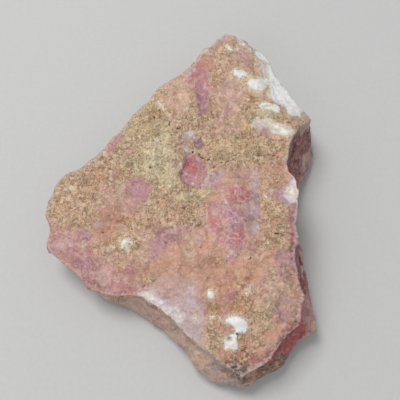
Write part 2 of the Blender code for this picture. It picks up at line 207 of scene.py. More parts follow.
# Smaller patches, each of which stands out from its ground
PATCHES = [Patch(*row) for row in (
    # West lobe
    ("orange", -19.6, 1.4, 90, 1.8, 0.6),
    ("red_brown", -26.4, 4.4, 30, 2.2, 1.1),
    ("red_brown", -14.6, 2.2, 10, 2.6, 1.3),
    ("red_brown", -24.5, 2.2, 40, 2.4, 1.0),
    ("pale_lilac", -32.2, -0.8, 70, 1.6, 0.7),
    ("mint", -33.6, -4.0, 90, 0.9, 0.6),
    ("salmon", -17, -8.4, 20, 2.6, 2.2),
    ("orange", -12.8, -8.6, 350, 2.4, 1.3),
    ("ochre", -9.7, -9.6, 0, 1.3, 0.9),
    ("blush", -19.8, -9.6, 20, 1.5, 1.1),
    ("rose_tan", -28.6, -10.6, 0, 2.6, 0.9),
    ("rust", -31.4, -10.4, 10, 1.4, 0.6),
    ("pink_tan", -20.5, -2.0, 60, 2.6, 1.4),
    # Southwest margin
    ("rose", -30.2, -13.2, 120, 1.6, 1.8),
    ("lilac", -26.4, -12.9, 10, 1.7, 0.9),
    ("cream", -23.4, -14.2, 345, 1.3, 0.4),
    ("rose", -25.0, -16.6, 130, 3.4, 1.8),
    ("lilac", -22.4, -19.2, 135, 2.4, 1.4),
    ("orange_tan", -20.6, -15.9, 350, 2.4, 1.1),
    ("salmon", -18.2, -12.4, 95, 2.8, 1.6),
    ("cream", -17.4, -15.7, 20, 1.3, 0.6),
    ("pale_sand", -14.2, -11.0, 20, 1.9, 1.3),
    ("sand", -15.6, -18.3, 350, 2.6, 0.5),
    ("rose", -15.4, -24.2, 350, 3.0, 1.0),
    ("orange_tan", -14.8, -19.9, 350, 2.1, 1.0),
    ("rose", -12.4, -20.6, 80, 1.4, 1.1),
    ("wine_pink", -21.6, -22.4, 135, 2.4, 0.9),
    ("deep_rose", -12.2, -24.7, 350, 1.5, 0.7),
    ("bright_pink", -10.4, -24.6, 90, 1.1, 0.35),
    ("ochre_sand", -8.6, -23.0, 0, 1.8, 0.7),
    # Lilac band and the smooth peach middle
    ("peach", -2.6, -18.4, 20, 4.4, 2.6),
    ("peach", 3.4, -20.6, 10, 4.6, 2.4),
    ("blush", 4.2, -14.3, 70, 2.0, 1.2),
    ("pale_sand", 2.0, -17.0, 80, 3.0, 1.3),
    ("brown_tan", -4.2, -7.6, 10, 4.0, 1.8),
    ("red_brown", -1.0, -8.8, 30, 1.6, 1.2),
    ("red_brown", -5.2, -9.6, 10, 2.4, 1.1),
    ("pale_sand", -9.0, -12.2, 160, 2.6, 1.4),
    ("orange_tan", 8.6, -19.2, 345, 2.6, 0.6),
    # Round the eye
    ("pale_lilac", 1.2, 12.6, 20, 1.9, 1.4),
    ("pale_lilac", 0.4, 9.4, 100, 2.4, 0.8),
    ("grey_lilac", 7.5, 1.4, 20, 2.2, 1.5),
    ("deep_purple", 7.3, 2.3, 60, 0.8, 0.4),
    ("blue_grey", 6.0, -0.6, 350, 1.4, 0.7),
    ("pale_olive", -2.4, 1.8, 80, 3.4, 1.6),
    ("pale_olive", -2.8, 6.4, 80, 2.4, 1.2),
    ("pale_olive", 0.6, -3.6, 20, 2.2, 1.4),
    ("pale_olive", 6.2, -2.6, 10, 1.6, 1.2),
    # Olive crust, northwest
    ("ochre_sand", -8.4, 19.6, 30, 3.0, 1.3),
    ("pale_olive", -6.4, 8.6, 30, 2.4, 1.6),
    ("rose", -17.3, 11.6, 60, 3.4, 1.5),
    ("red_brown", -1.4, 14.2, 10, 2.2, 0.7),
    ("pink_tan", -13.5, 8.0, 60, 3.0, 1.4),
    # Purple groove and the rose edge north of it
    ("pink_tan", 4.6, 27, 90, 8.5, 2.4),
    ("rose", 4.6, 29.0, 95, 3.4, 1.3),
    ("rose", 4.0, 32.4, 80, 2.6, 1.6),
    ("rose", 1.6, 30.4, 70, 2.4, 1.4),
    ("salmon_pink", 3.8, 35.0, 80, 2.6, 1.8),
    ("pale_lilac", 1.2, 32.6, 60, 1.8, 0.7),
    ("salmon", 6.4, 35.2, 85, 3.2, 1.2),
    ("bright_pink", 7.0, 37.6, 95, 1.7, 0.5),
    ("red_brown", 6.4, 20.4, 85, 2.4, 0.5),
    ("red_brown", 5.4, 18.2, 20, 1.5, 0.9),
    ("orange_tan", 8.0, 24.0, 88, 5.5, 0.5),
    # North tip
    ("red_brown", 9.6, 38.2, 80, 1.8, 0.7),
    ("sand", 11.6, 36.0, 60, 2.4, 1.6),
    ("pink_tan", 15.0, 36.4, 20, 3.4, 2.0),
    ("red_brown", 11.6, 31.8, 10, 0.9, 0.7),
    ("pale_lilac", 15.4, 41.2, 340, 1.6, 0.9),
    ("pale_lilac", 9.4, 44.2, 50, 2.4, 1.4),
    ("blush", 7.6, 41.0, 60, 2.2, 1.2),
    ("cream", 5.6, 38.6, 60, 1.4, 0.7),
    ("blush", 11.2, 25.8, 60, 1.8, 1.1),
    ("lilac", 11.0, 19.6, 80, 1.9, 1.1),
    ("blush", 12.0, 22.6, 80, 2.0, 1.3),
    ("orange_tan", 17.0, 22.4, 80, 1.5, 1.1),
    ("blush", 21.2, 23.8, 90, 1.8, 1.2),
    ("milk", 25.2, 25.0, 100, 4.4, 2.2),
    ("sand", 24.8, 19.8, 90, 1.4, 0.5),
    ("pale_olive", 18.4, 16.6, 20, 1.8, 1.1),
    ("blush", 20.6, 13.0, 355, 2.8, 0.9),
    ("ochre_sand", 13.6, 11.4, 30, 1.3, 0.8),
    ("brown_tan", 12.4, 5.2, 10, 2.4, 0.9),
    ("ochre_sand", 20.6, 10.2, 0, 1.6, 0.8),
    ("blush", 13.0, 14.0, 0, 0.9, 0.7),
    ("warm_grey", 30.4, 19.2, 60, 2.8, 1.4),
    ("sand", 28.8, 15.6, 50, 3.8, 1.0),
    # East of the eye
    ("blush", 16.4, 2.2, 20, 2.5, 1.7),
    ("blue_grey", 17.2, 0.4, 90, 1.9, 1.1),
    ("grey_lilac", 17.6, -2.2, 90, 3.0, 1.1),
    ("rose_tan", 13.6, 0.6, 10, 3.2, 1.1),
    ("orange_tan", 21.4, -0.4, 350, 2.7, 1.9),
    ("salmon", 22.6, 3.4, 20, 1.5, 0.9),
    ("lilac", 22.8, -3.2, 30, 2.0, 1.1),
    # Rose patch
    ("bright_lilac", 11.2, -17.4, 20, 1.7, 1.2),
    ("pink_tan", 8.8, -14.8, 60, 1.9, 1.2),
    ("deep_rose", 15.4, -16.7, 345, 1.8, 0.5),
    ("pink_tan", 16.6, -14.8, 60, 1.6, 1.4),
    # East margin
    ("red_brown", 21.6, -9.6, 20, 1.8, 1.2),
    ("wine", 26.4, -15.4, 88, 3.0, 1.1),
    ("ochre_sand", 24.2, -16.1, 340, 1.8, 0.6),
    ("rust", 25.6, -16.0, 30, 0.9, 0.5),
    ("lilac", 23.2, -19.0, 80, 2.2, 1.8),
    ("rose_tan", 23.0, -22.4, 80, 1.9, 1.8),
    ("brown_tan", 20.0, -23.0, 70, 1.8, 1.2),
    ("warm_grey", 18.3, -23.4, 80, 1.1, 0.6),
    ("pink_tan", 17.2, -27.2, 85, 2.8, 1.5),
    # South
    ("peach", 8.4, -22.4, 10, 3.6, 2.0),
    ("peach", 6.4, -28.8, 85, 2.8, 1.6),
    ("ochre", 7.0, -29.8, 80, 2.0, 1.1),
    ("rose", 11.0, -26.6, 20, 1.7, 1.2),
    ("deep_rose", 11.0, -26.9, 0, 1.0, 0.6),
    ("deep_rose", 10.8, -34.3, 350, 0.9, 0.5),
    ("grey_lilac", 10.6, -36.4, 20, 1.2, 1.0),
    ("warm_grey", 11.8, -32.4, 320, 1.8, 0.7),
    ("pale_lilac", 10.4, -32.4, 60, 1.1, 0.7),
    ("lilac", 12.8, -32.8, 330, 2.8, 1.8),
    ("mint", -13.3, -14.5, 70, 0.9, 0.7),
    ("salmon_pink", 10.0, -38.8, 350, 1.6, 0.6),
    ("salmon", 11.0, -39.4, 350, 2.8, 1.5),
    ("red_brown", 14.6, -39.0, 60, 2.6, 1.4),
    ("rust", 13.7, -39.6, 70, 1.5, 0.5),
    ("brick", 16.6, -41.2, 30, 3.2, 1.2),
    ("rose_tan", 15.6, -42.6, 30, 2.4, 0.9),
    ("blush", 22.6, -29.6, 40, 3.0, 1.6),
    ("rose_tan", 23.4, -31.4, 40, 3.4, 1.8),
    ("lilac", 23.6, -31.2, 40, 1.8, 1.0),
    ("bright_pink", 23.0, -33.7, 30, 0.9, 0.3),
    ("brown_tan", 11.4, -41.2, 350, 3.0, 1.2),
    ("brick", 15.0, -41.0, 40, 1.8, 0.9),
    ("stone_cream", 11.6, -42.0, 345, 3.8, 1.5),
    ("grey_black", 12.6, -42.4, 345, 2.2, 0.9),
    ("grey_black", 9.8, -41.9, 345, 2.0, 0.8),
    ("brown_tan", 8.0, -42.0, 340, 2.2, 0.6),
)]

# Forms drawn over the patches: the eye and its socket, the rose patch, the dark east margin, the lilac
# lobes, the cloudy whites of the north and the groove
DETAILS = [Outline(*row) for row in (
    # The eye: a lilac rim, a salmon band to the east, a dark red almond and a lilac foot
    ("lilac", 0.6, (
        (-1.0, 3.9), (-0.6, 5.8), (0.5, 7.4), (2.0, 8.0), (3.9, 7.4), (5.2, 5.4), (6.1, 3.3), (5.9, 1.1),
        (5.0, -0.3), (3.8, -1.1), (2.4, -1.0), (1.0, -0.3), (-0.1, 1.2), (-0.8, 2.5),
    )),
    ("salmon_pink", 0.3, (
        (3.2, 7.2), (4.4, 5.9), (5.5, 3.7), (5.5, 1.7), (4.6, 0.3), (3.4, -0.4), (2.6, 0.6), (2.8, 2.2),
        (3.4, 3.6), (3.6, 5.3),
    )),
    ("deep_rose", 0.3, (
        (0.0, 4.9), (0.9, 7.0), (2.0, 7.6), (3.0, 6.8), (3.5, 5.2), (3.3, 3.6), (2.6, 2.4), (1.4, 3.2),
        (0.4, 3.8),
    )),
    ("bright_lilac", 0.5, ((0.2, 2.9), (1.0, 3.2), (2.1, 2.3), (2.5, 0.8), (2.0, -0.4), (0.9, 0.3))),
    ("heart", 0.6, ((0.8, 5.4), (1.4, 6.8), (2.4, 6.6), (2.9, 5.2), (2.9, 3.8), (2.2, 3.1), (1.1, 4.0))),
    # The rose patch: a deep block, a salmon lobe, purple folds and grey mottling
    ("deep_rose", 0.5, (
        (10.3, -2.5), (11.9, -1.8), (14.2, -1.8), (16.2, -2.8), (16.1, -4.4), (15.0, -5.6), (13.0, -6.2),
        (10.9, -6.0), (10.1, -4.3),
    )),
    ("grey_lilac", 0.9, (
        (13.8, -6.4), (16.2, -4.8), (17.8, -2.0), (18.6, -3.8), (17.7, -6.8), (17.9, -9.2), (16.1, -9.9),
        (14.4, -9.2),
    )),
    ("bright_lilac", 0.7, (
        (9.2, -5.5), (11.1, -6.2), (13.2, -6.8), (14.5, -8.4), (14.1, -11.2), (12.3, -12.2), (10.6, -10.8),
        (9.8, -8.6),
    )),
    ("salmon_pink", 0.4, (
        (5.7, -9.8), (6.4, -7.6), (7.4, -6.6), (8.8, -7.1), (9.4, -8.6), (9.4, -10.3), (8.4, -12.1),
        (7.1, -12.7), (6.0, -11.9),
    )),
    ("blush", 0.6, ((6.8, -7.7), (7.8, -6.9), (8.8, -7.6), (8.6, -8.9), (7.3, -8.9))),
    ("deep_rose", 0.8, ((6.2, -10.2), (7.6, -9.4), (8.6, -10.6), (7.6, -12.0), (6.4, -11.6))),
    ("purple", 0.8, (
        (10.4, -8.6), (12.4, -7.8), (13.6, -9.2), (13.2, -11.0), (11.6, -11.8), (10.6, -10.2),
    )),
    ("blue_grey", 0.5, (
        (14.4, -10.8), (15.7, -9.8), (17.8, -10.1), (18.2, -11.4), (17.8, -12.8), (16.2, -13.2),
        (14.7, -12.6),
    )),
    ("deep_rose", 0.5, (
        (10.6, -13.1), (12.3, -12.3), (14.3, -12.9), (14.9, -14.6), (13.6, -16.1), (11.6, -16.0),
        (10.5, -14.7),
    )),
    ("salmon_pink", 0.6, (
        (7.7, -13.1), (9.4, -12.7), (10.4, -14.2), (10.4, -15.8), (9.0, -15.8), (7.9, -14.6),
    )),
    # Dark margin of the east rim, in wine that carries painted shade
    ("wine", 0.6, ((25.2, -12.6), (24.5, -15.0), (24.9, -18.6), (28.8, -18.8), (28.8, -12.0))),
    # Smooth lilac opal of the middle and of the west lobe
    ("rose_tan", 1.6, (
        (-7.8, -16.6), (-6.8, -13.2), (-5.6, -11.9), (-3.4, -11.0), (-0.5, -11.0), (2.4, -11.4),
        (1.4, -13.6), (-1.0, -15.2), (-3.2, -16.0), (-4.6, -18.4), (-7.4, -19.4),
    )),
    ("lilac", 1.6, (
        (-7.4, -16.0), (-6.4, -13.2), (-4.6, -12.0), (-1.8, -11.8), (-0.4, -12.6), (-2.4, -14.6),
        (-4.4, -15.6), (-5.4, -17.8), (-7.0, -18.0),
    )),
    ("rose_tan", 1.6, (
        (-14.0, 0.2), (-12.2, 1.4), (-8.7, 1.2), (-7.4, -1.0), (-7.8, -3.6), (-10.2, -4.6), (-12.8, -3.6),
        (-14.4, -1.4),
    )),
    ("lilac", 1.6, (
        (-13.0, -0.2), (-11.6, 0.8), (-9.2, 0.5), (-8.0, -1.2), (-8.6, -3.4), (-10.6, -4.2), (-12.4, -2.6),
    )),
    ("purple", 0.6, ((-25.8, -10.7), (-22.9, -10.5), (-21.6, -11.6), (-22.4, -13.2), (-24.4, -12.6))),
    ("blush", 0.6, (
        (-20.5, -20.2), (-18.5, -19.0), (-16.7, -20.3), (-17.0, -22.6), (-18.7, -23.6), (-20.1, -22.3),
    )),
    ("bright_pink", 0.5, ((-30.6, -13.8), (-28.3, -13.3), (-27.4, -14.4), (-28.9, -15.1), (-30.4, -14.7))),
    # The pale lobe of the east rim
    ("grey_lilac", 0.9, (
        (22.4, -3.4), (24.0, -0.6), (26.0, 1.8), (28.0, 3.0), (28.0, -6.0), (25.6, -6.4), (23.6, -5.4),
    )),
    ("milk", 0.9, ((23.8, -4.0), (24.8, -1.2), (26.2, 0.6), (27.6, 0.6), (27.4, -5.4), (25.4, -5.4))),
    # Cloudy whites of the north
    ("mint", 1.4, (
        (16.6, 16.4), (19.0, 17.6), (22.4, 17.0), (25.0, 15.6), (27.2, 13.4), (26.6, 12.6), (24.0, 13.0),
        (20.6, 13.8), (17.4, 14.4),
    )),
    ("pale_lilac", 0.9, (
        (17.5, 15.9), (19.0, 16.7), (21.1, 16.3), (21.9, 15.0), (20.6, 13.9), (18.5, 14.2),
    )),
    ("milk", 0.6, (
        (20.8, 15.8), (22.2, 15.7), (23.9, 15.5), (25.3, 14.1), (26.4, 13.1), (25.1, 12.3), (23.4, 12.7),
        (21.6, 13.7),
    )),
    ("blush", 0.9, ((13.9, 39.0), (15.8, 38.2), (18.2, 36.6), (18.3, 34.6), (15.2, 34.2), (13.4, 35.8))),
    ("cream", 0.5, ((10.6, 40.6), (11.8, 41.0), (12.8, 40.0), (12.0, 39.0), (10.9, 39.4))),
    ("cream", 0.8, ((21.2, 31.4), (22.8, 31.6), (23.2, 27.6), (22.8, 23.4), (21.6, 24.0), (20.8, 27.0))),
    ("cream", 0.4, ((-7.0, 23.4), (-5.9, 23.2), (-4.6, 20.8), (-5.2, 20.0), (-6.4, 21.4))),
    ("milk", 0.4, ((-6.8, 22.8), (-6.0, 22.6), (-5.4, 21.2), (-6.2, 21.4))),
    ("cream", 0.4, ((-4.2, 19.8), (-3.4, 19.6), (-2.8, 17.0), (-3.2, 16.2), (-3.8, 17.8))),
    ("socket", 0.3, (
        (2.7, 10.6), (3.2, 11.6), (4.2, 12.0), (5.0, 11.4), (5.2, 10.2), (4.4, 9.4), (3.2, 9.5),
    )),
    ("deep_purple", 0.4, ((4.3, 11.8), (5.0, 11.3), (5.1, 10.3), (4.6, 10.4))),
    ("purple", 0.5, (
        (3.5, 28.6), (5.6, 28.8), (6.0, 26.0), (5.8, 22.6), (6.0, 20.0), (5.4, 18.4), (4.2, 18.7),
        (3.5, 21.0), (3.2, 24.6),
    )),
    ("bright_lilac", 0.5, ((4.6, 27.6), (5.5, 27.2), (5.4, 24.6), (4.8, 22.0), (4.3, 24.4))),
)]

# Pale and dark threads: rims of the eye, seams of the rose patch, stained joints
VEINS = [Vein(*row) for row in (
    ("bright_pink", 0.2, ((0.1, 5.2), (0.5, 6.4), (1.2, 7.2), (2.0, 7.5))),
    ("bright_pink", 0.24, ((3.1, 7.2), (3.6, 6.4), (3.8, 5.2), (3.6, 4.0))),
    ("bright_pink", 0.2, ((4.6, 4.6), (5.0, 3.4), (4.8, 2.2), (4.2, 1.2))),
    ("bright_pink", 0.14, ((3.4, 3.2), (3.1, 2.2), (3.0, 1.0))),
    ("milk", 0.26, ((-0.8, 5.0), (-0.7, 4.4), (-0.5, 3.8))),
    ("milk", 0.18, ((0.1, 3.4), (0.7, 2.9))),
    ("grey_lilac", 0.16, ((3.6, 5.8), (3.9, 4.8), (3.9, 3.8))),
    ("milk", 0.22, ((2.3, 0.2), (2.6, -0.2))),
    ("deep_purple", 0.14, ((0.6, 2.5), (1.0, 2.2))),
    ("cream", 0.18, ((1.8, 10.8), (2.5, 9.8), (3.2, 9.0), (4.0, 8.6), (4.8, 8.8))),
    ("cream", 0.2, ((2.6, 13.6), (3.8, 13.4), (4.6, 12.6), (5.2, 11.6), (5.3, 10.8))),
    ("milk", 0.22, ((1.2, 13.2), (1.9, 12.4), (2.2, 13.2))),
    ("cream", 0.3, ((5.4, 0.2), (6.2, 1.2), (6.6, 2.6))),
    ("blush", 0.22, ((9.7, -0.6), (9.6, -2.2), (9.2, -3.4), (9.6, -4.4))),
    ("milk", 0.3, ((10.1, -5.0), (10.3, -5.7))),
    ("bright_pink", 0.2, ((5.7, -7.6), (5.5, -9.6), (5.5, -11.4), (6.4, -12.6), (7.6, -13.2))),
    ("bright_pink", 0.16, ((8.8, -6.6), (9.6, -8.2), (9.2, -9.6), (9.6, -11.4))),
    ("bright_lilac", 0.2, ((10.6, -9.0), (12.0, -8.6), (13.6, -9.2))),
    ("bright_lilac", 0.16, ((10.4, -10.2), (10.9, -11.6), (10.4, -12.8))),
    ("bright_pink", 0.16, ((11.0, -12.8), (12.0, -13.0), (12.7, -13.4))),
    ("bright_pink", 0.18, ((10.4, -13.6), (10.2, -14.6), (10.9, -14.2))),
    ("bright_lilac", 0.2, ((12.2, -16.8), (13.2, -16.2), (14.6, -15.6))),
    ("milk", 0.2, ((10.6, -18.2), (11.4, -17.6), (11.0, -17.2))),
    ("cream", 0.45, ((-28.8, 0.1), (-28.0, 0.6), (-27.2, 0.4))),
    ("milk", 0.2, ((-28.6, 0.2), (-28.2, 0.5))),
    ("cream", 0.35, ((-30.2, -2.8), (-29.6, -2.2))),
    ("blush", 0.2, ((16.2, -4.8), (15.9, -6.4), (16.4, -7.2), (15.6, -7.8))),
    ("blush", 0.2, ((17.4, -2.2), (18.2, -2.6))),
    ("blush", 0.16, ((14.4, -10.2), (14.7, -11.6), (15.2, -12.6))),
    ("cream", 0.2, ((17.2, -18.6), (18.3, -18.9), (17.9, -19.6))),
    ("blush", 0.2, ((15.0, -13.8), (15.6, -14.4))),
    ("cream", 0.2, ((13.1, 34.4), (13.5, 33.0), (13.9, 31.6))),
    ("red_brown", 0.22, ((6.7, 22.6), (6.6, 20.4), (7.0, 18.6))),
    ("orange", 0.16, ((7.7, 24.6), (7.9, 22.6), (7.8, 20.4))),
    ("orange", 0.14, ((7.6, 30.4), (7.2, 28.4), (7.6, 26.4))),
    ("bright_pink", 0.3, ((5.5, 28.4), (5.2, 27.2), (5.9, 26.4))),
    ("bright_pink", 0.2, ((4.8, 21.4), (4.6, 20.4))),
    ("orange", 0.14, ((16.0, 23.0), (17.1, 23.3), (17.9, 24.3))),
    ("orange", 0.14, ((13.6, 18.0), (14.6, 18.1), (15.4, 18.9))),
    ("orange", 0.24, ((5.0, -11.8), (5.6, -13.2), (5.9, -14.8))),
    ("rust", 0.26, ((15.0, -39.2), (14.2, -39.9), (13.8, -41.0), (13.0, -41.6))),
    ("orange", 0.3, ((12.6, -34.9), (12.9, -36.4), (13.3, -38.0), (13.4, -39.6))),
    ("orange_tan", 0.2, ((5.6, -22.6), (5.7, -25.4), (5.4, -28.0))),
    ("orange_tan", 0.2, ((8.8, -22.0), (10.0, -21.6), (11.0, -22.6))),
    ("bright_pink", 0.16, ((-26.6, -15.4), (-24.4, -16.6), (-22.6, -18.6))),
)]

# Chalky white chalcedony, which stands a little proud: soft edge, and corners in order
CHALK = [Outline("chalk", 0, corners) for corners in (
    (
        (16.0, 27.2), (17.2, 28.5), (18.6, 28.7), (19.6, 29.6), (21.0, 30.6), (22.0, 30.7), (21.9, 28.8),
        (21.4, 27.0), (20.8, 25.8), (20.0, 25.0), (17.8, 25.0), (16.4, 25.9),
    ),
    (
        (22.0, 35.2), (22.0, 32.6), (22.0, 30.6), (22.1, 26.8), (21.9, 24.0), (22.5, 22.4), (23.5, 21.3),
        (24.6, 21.6), (25.8, 20.8), (25.9, 19.4), (26.2, 18.3), (27.8, 18.5), (29.4, 18.9), (30.4, 21.4),
        (31.4, 24.0), (32.4, 27.0), (31.0, 31.0), (28.6, 35.0), (25.8, 39.0), (23.4, 37.6),
    ),
    (
        (12.6, 30.4), (13.1, 31.3), (14.1, 30.7), (14.8, 31.1), (15.4, 30.5), (16.3, 30.5), (16.2, 29.2),
        (15.2, 29.2), (14.6, 28.3), (13.6, 28.1), (13.4, 29.0), (12.6, 29.1),
    ),
    (
        (18.6, 20.7), (19.6, 21.4), (21.2, 21.3), (22.4, 20.8), (23.4, 20.9), (24.2, 19.6), (23.8, 18.5),
        (22.6, 18.3), (22.0, 19.0), (20.6, 19.2), (19.2, 19.6),
    ),
    (
        (18.3, 38.2), (18.5, 39.8), (20.2, 41.4), (21.8, 40.2), (23.6, 37.6), (22.6, 35.8), (21.0, 36.8),
        (19.8, 37.0),
    ),
    ((16.6, 39.2), (17.4, 40.2), (18.0, 39.2), (17.4, 38.2)),
    ((21.2, 15.3), (22.6, 15.7), (23.8, 15.2), (23.6, 14.3), (22.2, 14.3)),
    ((24.0, 14.6), (25.2, 14.2), (26.1, 13.3), (25.2, 12.7), (24.0, 13.1)),
    ((25.4, -2.6), (25.8, -1.4), (26.4, -1.0), (26.6, -2.4), (26.2, -3.4)),
    (
        (9.8, -32.4), (10.4, -31.7), (11.7, -31.4), (12.9, -31.4), (14.0, -32.0), (14.6, -33.0),
        (14.9, -34.0), (14.4, -34.9), (13.2, -35.0), (12.4, -35.3), (11.9, -34.6), (11.6, -33.8),
        (11.0, -33.1), (10.1, -32.8),
    ),
    (
        (11.2, -35.2), (12.2, -34.8), (12.7, -35.6), (12.4, -36.4), (12.8, -37.2), (12.6, -38.0),
        (11.9, -38.5), (10.7, -38.1), (9.8, -38.4), (9.4, -37.1), (9.6, -36.0), (10.3, -35.4),
    ),
    ((5.7, -26.4), (6.0, -25.6), (6.9, -25.6), (7.5, -26.3), (7.0, -26.9), (6.5, -27.5), (5.9, -27.1)),
    ((-14.5, -13.9), (-13.6, -13.2), (-13.1, -13.8), (-13.6, -14.6), (-13.7, -15.6), (-14.3, -15.2)),
    ((-12.5, -13.8), (-11.7, -13.9), (-11.5, -14.7), (-12.1, -14.8)),
)]
# Gaps in the chalk, where what lies under it shows
CHALK_GAPS = [Oval(*row) for row in (
    (10.6, -36.2, 20, 0.5, 0.34),
    (20.8, 20.3, 10, 1.0, 0.26),
    (24.9, 20.0, 90, 1.2, 0.5),
)]

# Small flecks of the same chalk: half width, and the points each runs through
FLECKS = [Vein("chalk", half_width, points) for half_width, *points in (
    (0.45, (11.2, 40.6), (11.6, 39.6), (12.2, 38.8)),
    (0.28, (15.0, 41.0), (15.8, 40.8)),
    (0.2, (13.6, 39.2), (13.7, 38.2)),
    (0.22, (6.5, -31.2), (7.1, -31.3)),
    (0.28, (14.9, -26.5), (15.3, -25.8), (15.5, -25.2)),
    (0.22, (-8.4, -26.8), (-7.8, -26.2)),
    (0.12, (3.0, -31.4), (3.4, -31.7)),
    (0.16, (8.8, -31.6), (8.9, -32.2)),
    (0.16, (19.8, -3.6), (19.9, -4.4)),
)]

# Open cracks and pinholes: half width, and the points each runs through
CRACKS = [Vein("crack", half_width, points) for half_width, *points in (
    (0.17, (3.6, 8.1), (3.9, 7.7), (4.1, 7.2)),
    (0.16, (4.2, 7.2), (4.7, 6.6), (4.9, 6.5)),
    (0.15, (5.4, 5.9), (5.9, 6.0), (6.3, 5.8)),
    (0.16, (9.0, 4.9), (9.3, 5.0)),
    (0.1, (10.2, 5.0), (10.8, 5.4), (11.4, 5.4)),
    (0.14, (11.0, 5.7), (11.9, 5.8), (12.3, 6.2), (12.9, 6.3)),
    (0.08, (13.3, 5.5), (13.9, 5.4)),
    (0.08, (14.6, 5.7), (15.2, 5.5)),
    (0.1, (16.6, 5.9), (17.4, 6.2)),
    (0.12, (20.8, 7.2), (22.3, 7.1), (23.3, 6.5)),
    (0.2, (2.3, 8.5), (2.4, 8.3)),
    (0.22, (7.1, 3.9), (7.3, 4.1)),
    (0.24, (18.3, 7.3), (18.4, 6.9)),
    (0.22, (14.1, 13.0), (14.4, 13.1)),
    (0.18, (-3.5, 16.7), (-3.3, 16.0), (-3.4, 15.2)),
    (0.15, (-2.6, 13.9), (-1.7, 14.2), (-0.9, 14.2)),
    (0.16, (1.3, 15.2), (2.2, 15.6)),
    (0.09, (-4.0, -14.4), (-3.1, -14.2), (-2.5, -14.2), (-1.5, -13.8)),
    (0.2, (-7.6, 19.0), (-7.5, 18.5)),
    (0.15, (-6.3, 18.6), (-5.3, 19.0)),
    (0.15, (-10.0, 17.1), (-8.4, 17.2)),
    (0.15, (-10.3, 10.9), (-10.1, 9.9)),
    (0.16, (-8.8, 11.2), (-8.6, 11.0)),
    (0.17, (-7.5, 10.9), (-7.2, 10.7)),
    (0.16, (-7.1, 12.4), (-6.9, 12.0)),
    (0.2, (-4.9, 3.4), (-4.7, 3.2)),
    (0.15, (-7.8, 4.0), (-7.6, 3.6)),
    (0.15, (-4.4, -3.2), (-3.4, -3.0)),
    (0.18, (-1.4, -0.9), (-1.4, -1.2)),
    (0.16, (4.2, -0.9), (4.2, -1.3)),
    (0.12, (0.4, -8.4), (1.0, -8.0)),
    (0.12, (3.6, -10.8), (4.6, -10.4)),
    (0.16, (21.3, -13.0), (22.4, -13.1)),
    (0.2, (23.0, -13.6), (23.2, -13.4)),
    (0.2, (21.4, -14.9), (21.4, -15.3)),
    (0.2, (15.2, -19.0), (15.7, -18.8)),
    (0.14, (23.6, -20.4), (23.7, -20.8)),
    (0.12, (24.3, -22.6), (24.9, -22.4)),
    (0.18, (25.9, 16.3), (26.2, 16.1)),
    (0.1, (13.2, -34.9), (12.5, -35.2), (12.9, -35.8), (12.6, -36.4)),
    (0.1, (15.0, -39.2), (14.3, -39.8)),
    (0.08, (11.6, -41.2), (10.4, -41.0)),
    (0.08, (12.6, -41.5), (13.8, -41.7)),
    (0.06, (8.2, -42.6), (10.4, -43.4), (12.0, -43.8)),
    (0.15, (-18.9, -11.3), (-18.8, -11.1)),
    (0.12, (-14.6, -22.5), (-14.5, -22.4)),
)]

# Cobbled opal: small lobes with paler threads between them
COBBLES = [Oval(*row) for row in (
    (12.2, -9.4, 95, 9.6, 5.2),
    (7.6, 1.0, 20, 2.4, 1.4),
    (22.8, -3.2, 30, 2.2, 1.2),
    (-26.0, -12.8, 10, 4.0, 1.4),
    (-18.5, -16.8, 350, 4.0, 1.6),
    (-17.5, -21.5, 30, 3.6, 1.8),
)]

